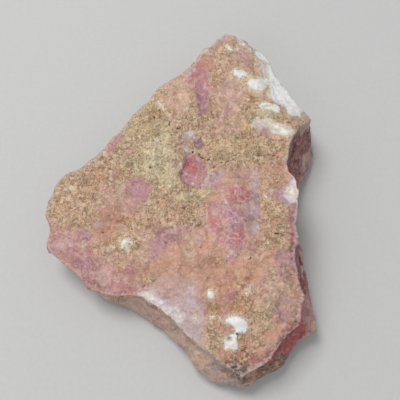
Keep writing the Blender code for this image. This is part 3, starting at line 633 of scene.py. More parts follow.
# Patches of the walls, which need a height too: colour, centre, reach across and reach up and down
WallPatch = namedtuple("WallPatch", "colour x y z reach rise")
WALL_PATCHES = [WallPatch(*row) for row in (
    # The east walls in dark wine and plum, which carry painted shade
    ("wine", 29.5, 13.5, 11.0, 7.5, 8.0),
    ("wine", 27.0, 7.0, 11.0, 4.5, 7.0),
    ("plum", 31.5, 17.5, 10.0, 3.0, 4.0),
    ("wine_pink", 33.4, 12.0, 4.5, 4.6, 3.0),
    ("pale_lilac", 34.0, 16.4, 6.0, 1.8, 2.2),
    ("milk", 27.4, 0.6, 13.0, 2.2, 5.0),
    ("wine_pink", 28.2, -5.0, 9.0, 3.2, 6.0),
    ("wine", 27.6, -11.0, 8.0, 4.4, 7.0),
    ("wine", 27.0, -17.5, 13.0, 3.6, 4.0),
    ("warm_grey", 29.6, -17.0, 7.0, 3.0, 3.0),
    ("wine", 28.8, -24.0, 9.0, 4.0, 6.0),
    ("wine", 28.0, -28.0, 12.0, 3.4, 4.6),
    ("blush", 32.0, -26.0, 4.0, 2.4, 3.4),
    ("plum", 27.8, 10.4, 13.4, 3.4, 2.2),
    ("blush", 31.4, 10.8, 6.6, 3.2, 2.4),
    ("crimson", 27.2, -31.6, 12.0, 3.4, 4.6),
    ("lilac", 30.6, -30.4, 8.0, 2.2, 4.0),
    ("crimson", 24.8, -35.8, 10.0, 4.6, 5.0),
    ("crimson", 20.8, -39.4, 9.5, 4.0, 3.8),
    ("rose", 28.6, -28.4, 10.0, 2.6, 3.0),
    ("rose_tan", 16.0, -43.0, 10.0, 2.8, 2.0),
    # Host rock low on the south walls, painted dark for the shade that falls there
    ("stone_cream", 25.2, -38.8, 3.4, 2.8, 2.2),
    ("stone_cream", 22.0, -41.0, 5.6, 3.0, 2.6),
    ("stone_cream", 18.6, -43.2, 5.8, 3.0, 2.4),
    ("stone_cream", 15.4, -44.6, 5.2, 2.6, 2.6),
    ("pink_grey", 10.0, -44.8, 3.8, 5.6, 3.4),
    ("wall_tan", 7.0, -42.4, 7.0, 4.6, 4.0),
    ("stone_cream", 11.4, -43.0, 9.0, 4.2, 2.4),
    ("grey_black", 8.6, -42.0, 9.0, 0.9, 0.9),
    ("grey_black", 10.2, -42.8, 9.4, 1.1, 1.0),
    ("grey_black", 11.8, -43.2, 8.4, 0.8, 0.8),
    ("grey_black", 13.0, -43.4, 9.6, 1.1, 1.0),
    ("pink_grey", 6.6, -41.4, 8.0, 3.4, 2.6),
    ("wall_tan", 3.0, -40.2, 5.0, 4.6, 5.0),
    ("wall_tan", -4.4, -32.0, 5.0, 5.0, 5.0),
    ("rose_tan", -6.8, -30.4, 6.4, 2.0, 2.4),
    ("wall_tan", -11.4, -28.0, 5.0, 4.2, 5.0),
    ("mint", -18.8, -25.0, 7.0, 1.4, 1.6),
    ("wine_pink", -25.4, -19.8, 5.0, 5.0, 5.0),
    ("wine_pink", -30.6, -15.8, 5.0, 4.0, 5.0),
    ("rose_tan", -33.2, -10.0, 8.0, 3.6, 5.0),
    ("lilac", -32.6, -10.6, 10.5, 3.0, 3.0),
    ("rose", -27.0, -18.0, 10.0, 5.0, 4.0),
    ("rose", -20.0, -23.6, 10.0, 4.0, 3.6),
    ("tan_crust", -27.0, 5.0, 12.0, 8.0, 8.0),
    ("pink_tan", -20.0, 10.0, 12.0, 5.0, 9.0),
    ("rose", -18.0, 12.6, 11.0, 3.0, 5.0),
    ("ochre_sand", -11.0, 19.0, 13.0, 6.0, 8.0),
    ("tan_crust", -4.0, 26.0, 13.0, 5.0, 8.0),
    ("pale_sand", -2.0, 29.0, 14.0, 4.0, 4.0),
    ("salmon_pink", 3.0, 36.8, 8.0, 4.6, 6.0),
    ("pale_lilac", 9.0, 44.8, 12.6, 3.6, 3.0),
    ("blush", 5.6, 41.0, 13.0, 3.0, 3.4),
    ("milk", 21.0, 40.6, 11.0, 3.6, 7.0),
    ("chalk", 24.6, 37.0, 9.0, 4.0, 9.0),
    ("chalk", 27.6, 32.4, 9.0, 4.0, 9.0),
    ("chalk", 30.4, 28.0, 10.0, 3.6, 8.0),
    ("blush", 30.8, 18.6, 14.8, 3.0, 2.8),
    ("pale_sand", 28.6, 15.6, 16.4, 2.6, 1.6),
)]

# Small forms of the skin, on top of those of the solid: centre, heading, half length, half width, height
Swell = namedtuple("Swell", "x y heading half_length half_width height")
SWELLS = [Swell(*row) for row in (
    (1.8, 4.8, 92, 2.8, 1.6, -0.35),
    (0.0, 5.6, 75, 2.0, 0.4, 0.35),
    (2.9, 6.8, 128, 1.4, 0.35, 0.35),
    (4.6, 2.8, 84, 2.4, 0.4, 0.35),
    (3.5, 4.2, 88, 2.2, 0.3, -0.3),
    (-0.7, 4.4, 88, 1.4, 0.4, 0.25),
    (3.9, 10.6, 60, 1.5, 1.1, -0.5),
    (3.9, 13.0, 330, 1.6, 0.4, 0.3),
    (2.4, 9.7, 315, 1.6, 0.35, 0.28),
    (11.2, -34.0, 350, 1.1, 0.5, -0.3),
    (10.6, -36.3, 20, 0.7, 0.4, -0.55),
    (8.0, -9.0, 85, 2.4, 1.3, 0.35),
    (12.8, -3.8, 10, 3.4, 1.8, 0.2),
    (16.4, -11.5, 90, 2.1, 1.6, -0.3),
    (11.2, -17.6, 20, 1.6, 1.1, 0.3),
    (-2.8, -13.1, 8, 3.2, 1.3, -0.25),
    (-23.8, -17.6, 125, 2.6, 1.6, -0.2),
    (-12.2, -24.7, 350, 1.6, 0.8, -0.25),
    (4.6, 24.6, 92, 5.4, 1.1, -0.4),
    (6.6, 22.0, 88, 4.6, 0.35, 0.3),
    (24.8, 20.4, 90, 1.8, 0.8, -0.35),
    (21.4, 24.0, 90, 1.8, 1.2, -0.3),
    (20.3, 20.4, 0, 1.2, 0.4, -0.3),
)]


# ---------------------------------------------------------------------------------------------------------
# Settings
# ---------------------------------------------------------------------------------------------------------


class MineralColours(PropertyGroup):
    """Colours of the stone's minerals."""

    peach: colour("Peach opal", "#CC9C84", "Smooth waxy opal of the middle")
    peach_orange: colour("Orange peach", "#C28E72", "Peach opal stained by iron")
    salmon: colour("Salmon", "#BE8A76", "Warm opal of the west lobe")
    salmon_pink: colour("Salmon pink", "#CA8A86", "Clear warm pink opal")
    pink_tan: colour("Pink tan", "#C09886", "Dusty mixture of opal and host rock")
    rose_tan: colour("Rose tan", "#BC8E86", "Pink opal under a thin crust")
    rose: colour("Rose opal", "#BE8488", "Body of the pink opal")
    deep_rose: colour("Deep rose", "#BC7679", "Clearest and deepest pink opal")
    crimson: colour("Crimson", "#B04C4E", "Deepest red of the opal")
    heart: colour("Heart of the eye", "#B8626A", "Dark rose heart of the eye")
    bright_pink: colour("Bright pink", "#DEB4B6", "Bruised flecks in the pink opal")
    blush: colour("Blush", "#CBA79E", "Palest pink opal")
    lilac: colour("Lilac opal", "#BA8C92", "Lilac opal")
    bright_lilac: colour("Bright lilac", "#C08C98", "Lilac lobe of the rose patch")
    pale_lilac: colour("Pale lilac", "#CCB8BE", "Milky lilac opal")
    grey_lilac: colour("Grey lilac", "#AE96A0", "Smoky opal")
    purple: colour("Purple", "#AE7E90", "Purple opal of the groove")
    socket: colour("Socket", "#947888", "Smoky violet opal north of the eye")
    deep_purple: colour("Deep purple", "#866872", "Shadowed purple opal")
    brick: colour("Brick", "#965E54", "Iron-red opal of the southeast rim")
    # Wine and plum are darkened with the painted shade of the east walls, which face away from the lights
    wine: colour("Wine", "#80383F", "Clear dark opal of the broken walls")
    wine_pink: colour("Wine pink", "#9E6C72", "Paler bands of the broken walls")
    plum: colour("Plum", "#6A3238", "Darkest opal of the east wall")
    milk: colour("Milk opal", "#ECE4E2", "Milky white opal")
    blue_grey: colour("Blue grey", "#C4AEAA", "Pale blue-grey opal")
    pink_grey: colour("Pink grey", "#AE9C96", "Smooth dull opal of the south tip")
    warm_grey: colour("Warm grey", "#B6A098", "Dull grey opal")
    grey_black: colour("Grey black", "#4E4843", "Manganese stain at the south tip")
    tan_crust: colour("Tan crust", "#B89276", "Granular host rock")
    brown_tan: colour("Brown tan", "#B08C6E", "Darker host rock")
    red_brown: colour("Red brown", "#A87A62", "Iron-stained host rock")
    sand: colour("Sand", "#BC9A7C", "Pale host rock")
    pale_sand: colour("Pale sand", "#CCA890", "Smoothest pale host rock")
    ochre_sand: colour("Ochre sand", "#B8966E", "Yellowish host rock")
    olive_crust: colour("Olive crust", "#B09C78", "Olive-tan host rock")
    pale_olive: colour("Pale olive", "#CCBE9A", "Pale green-cream host rock")
    ochre: colour("Ochre", "#B89460", "Yellow iron stain")
    orange_tan: colour("Orange tan", "#BA8A6A", "Host rock warmed by iron")
    orange: colour("Orange", "#B47E54", "Orange iron stain")
    rust: colour("Rust", "#94623E", "Rusty pockets")
    cream: colour("Cream", "#EAD8B8", "Cream knobs")
    mint: colour("Mint", "#DCDCCA", "Faint green tinge of the chalcedony")
    # Host rock low on the south walls, painted dark for the shade there; its own colour is paler cream
    stone_cream: colour("Stone cream", "#6F584E", "Broken host rock low on the south walls")
    wall_tan: colour("Wall tan", "#BEA494", "Broken host rock of the southwest wall")
    chalk: colour("Chalk white", "#FBFAF8", "Chalky white chalcedony")
    # Light grain and light thread also paint crest highlights; dark grain paints hollows' clay and shade
    grain_light: colour("Light grain", "#F0DABC", "Clean sand grains and the crests of the crust")
    grain_dark: colour("Dark grain", "#866A50", "Hollows between the sand grains")
    opal_light: colour("Light thread", "#DEC0B4", "Bruised threads in the opal")
    # Pit brown darkens the relief's pits: clay, and painted shade in them
    pit: colour("Pit brown", "#5C4430", "Bottoms of the crust's pits")
    crack: colour("Crack brown", "#2A1C12", "Open cracks and pinholes")


class StoneSettings(PropertyGroup):
    """Sizes of the skin's relief."""

    crust_height: amount("Crust height", 0.44, 1.0, "Height of the crust's crumbs (mm)")
    pit_depth: amount("Pit depth", 0.20, 1.5, "Depth of the crust's pits (mm)")
    opal_height: amount("Opal relief", 1.0, 3.0, "Strength of the broken faces of the opal")
    cobble_height: amount("Cobble height", 0.36, 1.0, "Height of the cobbled opal's lobes (mm)")
    chalk_height: amount("Chalk height", 0.16, 1.0, "How far the white chalcedony stands proud (mm)")
    crack_depth: amount("Crack depth", 0.4, 1.5, "Depth of the open cracks (mm)")
    seed: IntProperty(name="Seed", description="Which way the minerals' edges wander", default=2, min=1)


class GrainSettings(PropertyGroup):
    """The loose grains of the crust."""

    grain_size: length("Grain size", 0.40 * MM, "Width of a middling grain")
    spacing: length("Spacing", 0.6 * MM, "Least distance between two grains")
    density: amount("Density", 2.0e6, 1.0e8, "Most grains in a square metre of full crust")
    seed: IntProperty(name="Seed", description="Which of the possible scatterings is made", default=7)


class StageSettings(PropertyGroup):
    """Floor, lights and camera."""

    floor_colour: colour("Floor", "#CECECC", "Pale card the stone lies on")
    key_power: amount("Key light", 2.6, 100.0, "Power of the soft light high in the northwest (W)")
    fill_power: amount("Fill light", 0.6, 100.0, "Power of the weak light low in the southwest (W)")
    sky_strength: amount("Room light", 0.42, 10.0, "Strength of the light from all round")


# ---------------------------------------------------------------------------------------------------------
# Measures over the skin's points, which are arrays with one row for each point, in mm
# ---------------------------------------------------------------------------------------------------------

# Each finer layer of a crumbly noise: its strength's fall, how much finer it is, and how many there are
CRUMBLE_LAYERS = (0.9, 2.1, 3)
# Numbers with no common measure, which scatter a chip's place and the roll into dice
DICE_MIX = (12.99, 78.23, 37.72)
DICE_TURN = 7.3
DICE_STRETCH = 437.58


def sample(points, size, function=noise.noise):
    """A noise function over the points; size is the pattern's scale in mm."""
    return np.array([function(Vector(p)) for p in points / size])


def crumble(points, size):
    """Layered noise, the coarsest layer being size in mm."""
    return sample(points, size, lambda place: noise.fractal(place, *CRUMBLE_LAYERS))


def chips(points, size):
    """A mosaic of chips of a size in mm: for each point its chip's middle, and its distance from that."""
    found = [noise.voronoi(Vector(p)) for p in points / size]
    middles = np.array([places[0] for _, places in found]) * size
    off = np.array([away[0] for away, _ in found]) * size
    return middles, off


def dice(middles, roll):
    """A number from -1 to 1 for each chip, the same for all its points; each roll gives other numbers."""
    mixed = np.sin(np.round(middles, 2) @ DICE_MIX + DICE_TURN * roll) * DICE_STRETCH
    return 2 * (mixed - np.floor(mixed)) - 1


def smooth(values):
    """Values clipped to 0..1 and eased at both ends."""
    t = np.clip(values, 0, 1)
    return t * t * (3 - 2 * t)


def ramp(values, low, high):
    """Values eased from 0 at low to 1 at high."""
    return smooth((values - low) / (high - low))


def edge_ramp(inside, width):
    """How fully points are inside, from how far inside they are and how wide the soft edge is."""
    return ramp(inside, -width / 2, width / 2)


def along_and_across(points, oval):
    """Where the points lie along and across an oval, in its half lengths and half widths."""
    angle = math.radians(oval.heading)
    east = points[:, 0] - oval.x
    north = points[:, 1] - oval.y
    along = east * math.cos(angle) + north * math.sin(angle)
    across = north * math.cos(angle) - east * math.sin(angle)
    return along / oval.half_length, across / oval.half_width


def in_oval(points, oval):
    """How far inside an oval of the top each point is; negative outside."""
    reach = np.hypot(*along_and_across(points, oval))
    return (1 - reach) * min(oval.half_length, oval.half_width)


def to_path(points, corners):
    """Distance of each point from a line through corners, seen from above."""
    nearest = np.full(len(points), np.inf)
    for start, end in zip(corners, corners[1:]):
        start = np.array(start)
        run = np.array(end) - start
        away = points[:, :2] - start
        t = np.clip(away @ run / (run @ run), 0, 1)
        nearest = np.minimum(nearest, np.linalg.norm(away - t[:, None] * run, axis=1))
    return nearest


def in_outline(points, outline):
    """How far inside an outline each point is; negative outside."""
    corners = (*outline.corners, outline.corners[0])
    inside = np.zeros(len(points), bool)
    for (x0, y0), (x1, y1) in zip(corners, corners[1:]):
        crossing = (points[:, 1] < y0) != (points[:, 1] < y1)
        slant = (x1 - x0) / (y1 - y0) if y1 != y0 else 0.0
        inside ^= crossing & (points[:, 0] < x0 + (points[:, 1] - y0) * slant)
    return np.where(inside, 1, -1) * to_path(points, corners)


def in_vein(points, vein):
    """How far inside a vein's half width each point is; negative outside."""
    return vein.half_width - to_path(points, vein.points)


def union(points, shapes, measure):
    """The largest measure over several shapes: how far inside any of them each point is."""
    return np.max([measure(points, shape) for shape in shapes], axis=0)


# ---------------------------------------------------------------------------------------------------------
# The skin's mesh
# ---------------------------------------------------------------------------------------------------------

# Edges bent by more than the first angle (degrees) begin to stay sharp; at the second they stay fully so
CREASE_FROM = 20.0
CREASE_FULL = 45.0
SKIN_LEVELS = 2
# The solid's triangles share their corners once points nearer than this (metres) are merged
MERGE_WITHIN = 0.001 * MM
# A point this far (mm) off the mean of its neighbours lies on a fully broken edge, or deep in a hollow
SHARP_OFFSET = 0.06
# Where the skin rests on the ground: how far its normal points down, and its height (mm), each from where
# it begins to rest to where it rests fully
RESTING_NORMAL = (0.7, 0.9)
RESTING_HEIGHT = (1.2, 0.2)


def fine_skin():
    """A dense smooth copy of the stone's solid that keeps its broken edges, as a mesh."""
    shell = bmesh.new()
    shell.from_mesh(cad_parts[NODE].data)
    bmesh.ops.remove_doubles(shell, verts=shell.verts[:], dist=MERGE_WITHIN)
    crease = shell.edges.layers.float.new("crease_edge")
    for edge in shell.edges:
        bend = math.degrees(edge.calc_face_angle(0.0))
        edge[crease] = min(1.0, max(0.0, (bend - CREASE_FROM) / (CREASE_FULL - CREASE_FROM)))
    data = bpy.data.meshes.new("coarse skin")
    shell.to_mesh(data)
    shell.free()
    coarse = bpy.data.objects.new("coarse skin", data)
    bpy.context.scene.collection.objects.link(coarse)
    finer = coarse.modifiers.new("finer", "SUBSURF")
    finer.levels = SKIN_LEVELS
    finer.render_levels = SKIN_LEVELS
    fine = bpy.data.meshes.new_from_object(coarse.evaluated_get(bpy.context.evaluated_depsgraph_get()))
    bpy.data.objects.remove(coarse)
    return fine


def spread(mesh, values, rounds):
    """Each point's value replaced by the mean of its neighbours', a number of times."""
    ends = np.empty(2 * len(mesh.edges), np.int32)
    mesh.edges.foreach_get("vertices", ends)
    first, second = ends.reshape(-1, 2).T
    count = np.bincount(ends, minlength=len(values))
    for _ in range(rounds):
        from_second = np.bincount(first, values[second], len(values))
        from_first = np.bincount(second, values[first], len(values))
        values = (from_second + from_first) / count
    return values


def standing_out(mesh, points, normals):
    """How sharply the skin is bent at each point: near 1 on a broken edge, near -1 in a hollow."""
    away = points - np.column_stack([spread(mesh, points[:, axis], 2) for axis in range(3)])
    return np.clip(spread(mesh, (away * normals).sum(axis=1), 1) / SHARP_OFFSET, -1, 1)


def lying_on_ground(points, normals):
    """How fully each point belongs to the flat area that the stone rests on, which keeps its place."""
    high, low = RESTING_HEIGHT
    return ramp(-normals[:, 2], *RESTING_NORMAL) * ramp(-points[:, 2], -high, -low)


def clip_to_box(places):
    """Places in metres, held inside the CAD solid's box."""
    return np.clip(places, np.array(CAD_LOW), np.array(CAD_HIGH))


def read_vectors(source, name):
    """A mesh layer of vectors as an array, one row for each."""
    values = np.empty(len(source) * 3, np.float32)
    source.foreach_get(name, values)
    return values.reshape(-1, 3).astype(float)


def write_places(mesh, places):
    """Moves a mesh's points to places in metres, inside the CAD solid's box."""
    mesh.vertices.foreach_set("co", clip_to_box(places).astype(np.float32).ravel())
    mesh.update()


def write_attribute(mesh, name, values):
    """A point attribute of a mesh: one number for each point, or one colour."""
    if values.ndim == 1:
        mesh.attributes.new(name, "FLOAT", "POINT").data.foreach_set("value", values.astype(np.float32))
        return
    rgba = np.ones((len(values), 4), np.float32)
    rgba[:, :3] = values
    mesh.attributes.new(name, "FLOAT_COLOR", "POINT").data.foreach_set("color", rgba.ravel())


def add_piece(name, mesh, material):
    """A visible object made of a mesh and a material."""
    mesh.name = name
    mesh.materials.clear()
    mesh.materials.append(material)
    piece = bpy.data.objects.new(name, mesh)
    bpy.context.scene.collection.objects.link(piece)
    return piece


# ---------------------------------------------------------------------------------------------------------
# Where each mineral is on the skin
# ---------------------------------------------------------------------------------------------------------

# Patch edges wander by noises of these sizes and reaches (mm)
WANDER = ((4.2, 0.9), (1.6, 0.5))
# Minerals change from chip to chip: the chips' sizes (mm) and how far a point is drawn to its chip's middle
GROUND_CHIP = 1.7
PATCH_CHIP = 1.1
WALL_CHIP = 2.4
# The walls' chips are wider than they are high by this much
WALL_SQUASH = np.array((1.0, 1.0, 1.6))
DRAWN = 0.8
# How far (mm) the dice move a ground's edge, and a patch's for each millimetre of its half width up to one;
# and a wall patch's, as a part of its reach
GROUND_DICE = 0.9
PATCH_DICE = 0.35
WALL_DICE = 0.12
# How much of the wander the threads of the opal, the flecks, the chalk and the cracks follow
THREAD_WANDER = 0.25
FLECK_WANDER = 0.4
CHALK_WANDER = 0.2
CRACK_WANDER = 0.25
# The cracks are jagged too: the size (mm) of the noise that moves them, and how far (mm)
JAG = 0.7
JAG_REACH = 0.35
# Soft borders (mm) of the grounds, the patches, the veins and the cobbled opal
GROUND_EDGE = 2.4
PATCH_EDGE = 0.5
VEIN_EDGE = 0.3
COBBLE_EDGE = 1.2
# A wall's patch begins this many times its reach from its middle, and its soft border is this wide
WALL_START = 1.1
WALL_EDGE = 0.2
# A detail with a softer border (mm) than this changes from chip to chip too
CRISP = 0.7
# Most that an outline, a patch, a vein or a wall's patch hides what is under it
OUTLINE_COVER = 0.9
PATCH_COVER = 0.85
VEIN_COVER = 0.8
WALL_COVER = 0.95
# A face whose normal rises less than the first of these is a wall, and more than the second the top
WALL_TO_TOP = (0.68, 0.84)
# Chalk and cracks are measured this far (mm) from their edges, and no further
FIELD_LIMIT = 3
# The chalk thins out from where a face's normal points down by the first of these to the second
CHALK_TO_UNDERSIDE = (-0.45, 0.1)
# How far (mm) from its edge a crack is taken on the walls, so that none shows there
CRACK_OFF_WALLS = 2.0

# How sugary each mineral is, from 0, waxy opal, to 1, loose crust; a mineral not named here is waxy
SUGARY = {
    "tan_crust": 1.0, "brown_tan": 1.0, "olive_crust": 1.0, "sand": 0.9, "pale_olive": 0.9,
    "ochre_sand": 0.9, "rust": 0.9, "red_brown": 0.8, "cream": 0.8, "orange_tan": 0.75, "orange": 0.7,
    "ochre": 0.6, "pink_tan": 0.5, "pale_sand": 0.45, "rose_tan": 0.35, "grey_black": 0.35,
    "stone_cream": 0.35, "warm_grey": 0.3, "peach_orange": 0.25, "wall_tan": 0.15,
}

# A mineral spread in clouds: its colour's name, the noise and its size (mm), how far (mm) the noise is
# moved so that clouds differ, where in its range the mineral starts and is full, and the most it covers
Cloud = namedtuple("Cloud", "colour pattern size shift start full cover")
TOP_CLOUDS = (Cloud("pink_tan", crumble, 6.0, 0.0, -0.2, 0.5, 1.0),)
WALL_CLOUDS = [Cloud(*row) for row in (
    ("wine_pink", sample, 5.0, 0.0, 0.0, 0.3, 1.0),
    ("wall_tan", crumble, 8.0, 0.0, -0.1, 0.2, 1.0),
    ("brown_tan", crumble, 5.0, 31.0, 0.15, 0.4, 1.0),
    ("pale_lilac", sample, 4.4, 17.0, 0.25, 0.4, 0.7),
)]
# Pale and dark chips of the walls: colour, roll of the dice, where it starts and is full, the most it hides
WALL_CHIPS = (("opal_light", 1, 0.2, 0.9, 0.22), ("deep_purple", 2, 0.3, 0.9, 0.3))
# What makes a border ragged: a noise, its size (mm) and its reach (mm). The fine one is for both chalk and
# cracks, and the last reaches into the rise of the normal that parts the top from the walls
VEIN_RAGS = (crumble, 0.9, 0.2)
CHALK_RAGS = (crumble, 1.6, 0.2)
FINE_RAGS = (sample, 0.8, 0.08)
TOP_RAGS = (sample, 2.0, 0.05)


def ragged(points, pattern, size, reach):
    """How far a noise moves a border at each point."""
    return reach * pattern(points, size)


def paint(layer, name, cover):
    """A layer, colour and sugariness side by side, with a named mineral laid over it."""
    mineral = np.array((*getattr(bpy.context.scene.opal_colours, name), SUGARY.get(name, 0.0)))
    return layer + (mineral - layer) * cover[:, None]


def bare_layer(points, name):
    """A layer of one mineral all over."""
    return paint(np.zeros((len(points), 4)), name, np.ones(len(points)))


def clouded(layer, points, clouds):
    """A layer with minerals laid over it in clouds, one after another."""
    for cloud in clouds:
        shown = ramp(cloud.pattern(points + cloud.shift, cloud.size), cloud.start, cloud.full)
        layer = paint(layer, cloud.colour, cloud.cover * shown)
    return layer


def top_layer(points, wandered):
    """Minerals of the top: broad grounds, then patches, then details and threads."""
    ground_chips, _ = chips(wandered, GROUND_CHIP)
    patch_chips, _ = chips(wandered, PATCH_CHIP)
    broad = wandered + DRAWN * (ground_chips - wandered)
    close = wandered + DRAWN * (patch_chips - wandered)
    threads = points + THREAD_WANDER * (wandered - points)
    layer = clouded(bare_layer(points, "peach"), broad, TOP_CLOUDS)
    for roll, patch in enumerate(GROUNDS):
        inside = in_oval(broad, patch) + GROUND_DICE * dice(ground_chips, roll)
        layer = paint(layer, patch.colour, edge_ramp(inside, GROUND_EDGE))
    for patch in OUTLINES:
        layer = paint(layer, patch.colour, OUTLINE_COVER * edge_ramp(in_outline(close, patch), patch.soft))
    for roll, patch in enumerate(PATCHES):
        inside = in_oval(close, patch) + PATCH_DICE * min(1.0, patch.half_width) * dice(patch_chips, roll)
        layer = paint(layer, patch.colour, PATCH_COVER * edge_ramp(inside, PATCH_EDGE))
    for patch in DETAILS:
        inside = in_outline(threads if patch.soft < CRISP else close, patch)
        layer = paint(layer, patch.colour, OUTLINE_COVER * edge_ramp(inside, patch.soft))
    rags = ragged(points, *VEIN_RAGS)
    for vein in VEINS:
        inside = in_vein(threads, vein) + rags
        layer = paint(layer, vein.colour, VEIN_COVER * edge_ramp(inside, VEIN_EDGE))
    return layer


def wall_layer(points, wandered):
    """Minerals of the walls and the underside: broken opal and host rock, then their own patches."""
    wall_chips, _ = chips(wandered * WALL_SQUASH, WALL_CHIP)
    broken = wandered + DRAWN * (wall_chips / WALL_SQUASH - wandered)
    layer = clouded(bare_layer(points, "rose_tan"), broken, WALL_CLOUDS)
    for roll, patch in enumerate(WALL_PATCHES):
        away = (broken - (patch.x, patch.y, patch.z)) / (patch.reach, patch.reach, patch.rise)
        inside = WALL_START - np.linalg.norm(away, axis=1) + WALL_DICE * dice(wall_chips, roll)
        layer = paint(layer, patch.colour, WALL_COVER * ramp(inside, 0.0, WALL_EDGE))
    for name, roll, start, most, cover in WALL_CHIPS:
        layer = paint(layer, name, cover * ramp(dice(wall_chips, roll), start, most))
    return layer


def skin_fields(points, normals):
    """The minerals over the skin: names to arrays, one value or colour for each point."""
    warp = sum(sample(points, size, noise.noise_vector) * reach for size, reach in WANDER)
    wandered = points + warp
    upward = ramp(normals[:, 2] + ragged(points, *TOP_RAGS), *WALL_TO_TOP)
    wall = wall_layer(points, wandered)
    layer = wall + (top_layer(points, wandered) - wall) * upward[:, None]
    fine_rags = ragged(points, *FINE_RAGS)

    flecks = union(points + FLECK_WANDER * warp, FLECKS, in_vein)
    chalk = np.maximum(union(points + CHALK_WANDER * warp, CHALK, in_outline), flecks)
    chalk = chalk + fine_rags + ragged(points, *CHALK_RAGS)
    chalk = np.minimum(chalk, -union(points, CHALK_GAPS, in_oval))
    underneath = FIELD_LIMIT * ramp(-normals[:, 2], *CHALK_TO_UNDERSIDE)

    jagged = points + CRACK_WANDER * warp + JAG_REACH * sample(points, JAG, noise.noise_vector)
    crack = union(jagged, CRACKS, in_vein) + fine_rags
    return {
        "tint": layer[:, :3],
        "crust": np.clip(layer[:, 3], 0, 1),
        "chalk": np.clip(chalk, -FIELD_LIMIT, FIELD_LIMIT) - underneath,
        "crack": np.clip(crack, -FIELD_LIMIT, FIELD_LIMIT) - CRACK_OFF_WALLS * (1 - upward),
        "cobble": edge_ramp(union(wandered, COBBLES, in_oval), COBBLE_EDGE) * upward,
        "upward": upward,
    }


# ---------------------------------------------------------------------------------------------------------
# The skin's relief
# ---------------------------------------------------------------------------------------------------------

# Sizes (mm) of what the relief is made of
LUMP = 2.8
WARP = 1.5
WRINKLE = 1.3
SUGAR = 0.45
CRUMB = 1.0
PIT = 1.0
COBBLE = 1.9
# How far (mm) the warp moves the wrinkles, crumbs, cobbles and broken faces
WARP_REACH = 0.45
# How sharp the wrinkles are, how far (mm) from its middle a crumb sinks to the skin, and where a pit starts
# and is deepest in its noise
WRINKLE_SHARPNESS = 2.6
CRUMB_REACH = 0.55
PIT_RANGE = (0.46, 0.62)
# How wide (mm) the shoulders of the chalk and the cracks are, and how much of the cobbles' form shows
CHALK_SHOULDER = 0.4
CRACK_SHOULDER = 0.4
COBBLE_SHARE = 0.7
# Broken faces of the opal: their size (mm) and how steeply they tilt
BROKEN_FACES = ((3.4, 0.12), (1.5, 0.07))
# How fast a swell of the skin fades away from its middle
SWELL_FADE = 1.2


def facets(points, size, slope):
    """Broken faces: each chip is a plane of its own tilt; the height over the skin."""
    middles, _ = chips(points, size)
    tilt = np.column_stack([dice(middles, roll) for roll in range(3)])
    return slope * ((points - middles) * tilt).sum(axis=1)


def skin_relief(points, fields):
    """The fine relief: its height over the skin in mm, its crests (-1 to 1) and its pits."""
    stone = bpy.context.scene.opal_stone
    warped = points + WARP_REACH * sample(points, WARP, noise.noise_vector)
    lumps = crumble(points, LUMP)
    wrinkles = 1 - WRINKLE_SHARPNESS * np.abs(sample(warped, WRINKLE))
    sugar = sample(points, SUGAR)
    _, off = chips(warped, CRUMB)
    crumbs = CRUMB_REACH - off
    pits = ramp(sample(points, PIT), *PIT_RANGE)
    crust = stone.crust_height * (0.7 * lumps + 0.9 * crumbs + 0.25 * wrinkles + 0.3 * sugar)
    crust = crust - stone.pit_depth * pits

    faces = sum(facets(warped, size, slope) for size, slope in BROKEN_FACES)
    opal = stone.opal_height * (faces + 0.06 * lumps + 0.02 * wrinkles)

    _, off = chips(warped, COBBLE)
    cobble = stone.cobble_height * (0.8 - (off / COBBLE) ** 2 + 0.3 * wrinkles)

    proud = edge_ramp(fields["chalk"], CHALK_SHOULDER)
    height = fields["crust"] * crust + (1 - fields["crust"]) * opal
    height = height + COBBLE_SHARE * fields["cobble"] * (cobble - height)
    height = height + proud * (stone.chalk_height * (0.8 + 0.6 * sugar + 0.5 * lumps) - 0.5 * height)
    for swell in SWELLS:
        along, across = along_and_across(points, swell)
        bulge = np.exp(-SWELL_FADE * (along ** 2 + across ** 2))
        height = height + swell.height * fields["upward"] * bulge
    height = height - stone.crack_depth * edge_ramp(fields["crack"], CRACK_SHOULDER)
    crest = np.clip(1.1 * crumbs + 0.35 * wrinkles + 0.4 * sugar, -1, 1)
    return height, crest, pits * fields["crust"]


# ---------------------------------------------------------------------------------------------------------
# Nodes
# ---------------------------------------------------------------------------------------------------------

# A step in a node tree: its node's type and settings, the inputs that its values go to, and its output
Step = namedtuple("Step", "kind settings inputs output")
REMAP = Step("ShaderNodeMapRange", {}, ("Value", "From Min", "From Max", "To Min", "To Max"), 0)
PLUS = Step("ShaderNodeMath", {"operation": "ADD"}, (0, 1), 0)
TIMES = Step("ShaderNodeMath", {"operation": "MULTIPLY"}, (0, 1), 0)
UNSIGNED = Step("ShaderNodeMath", {"operation": "ABSOLUTE"}, (0,), 0)
BETWEEN = Step("ShaderNodeMix", {"data_type": "FLOAT"}, (0, 2, 3), 0)
BLEND = Step("ShaderNodeMix", {"data_type": "RGBA"}, (0, 6, 7), 2)
SCALED = Step("ShaderNodeVectorMath", {"operation": "SCALE"}, (0, "Scale"), 0)
APART = Step("ShaderNodeVectorMath", {"operation": "SUBTRACT"}, (0, 1), 0)
DOT = Step("ShaderNodeVectorMath", {"operation": "DOT_PRODUCT"}, (0, 1), "Value")
MOVED = Step("ShaderNodeVectorMath", {"operation": "MULTIPLY_ADD"}, (0, 1, 2), 0)
CLOUD = Step("ShaderNodeTexNoise", {}, ("Vector", "Scale", "Detail", "Roughness"), "Fac")
RANDOM = Step("FunctionNodeRandomValue", {"data_type": "FLOAT_VECTOR"}, (0, 1, "Seed"), 0)
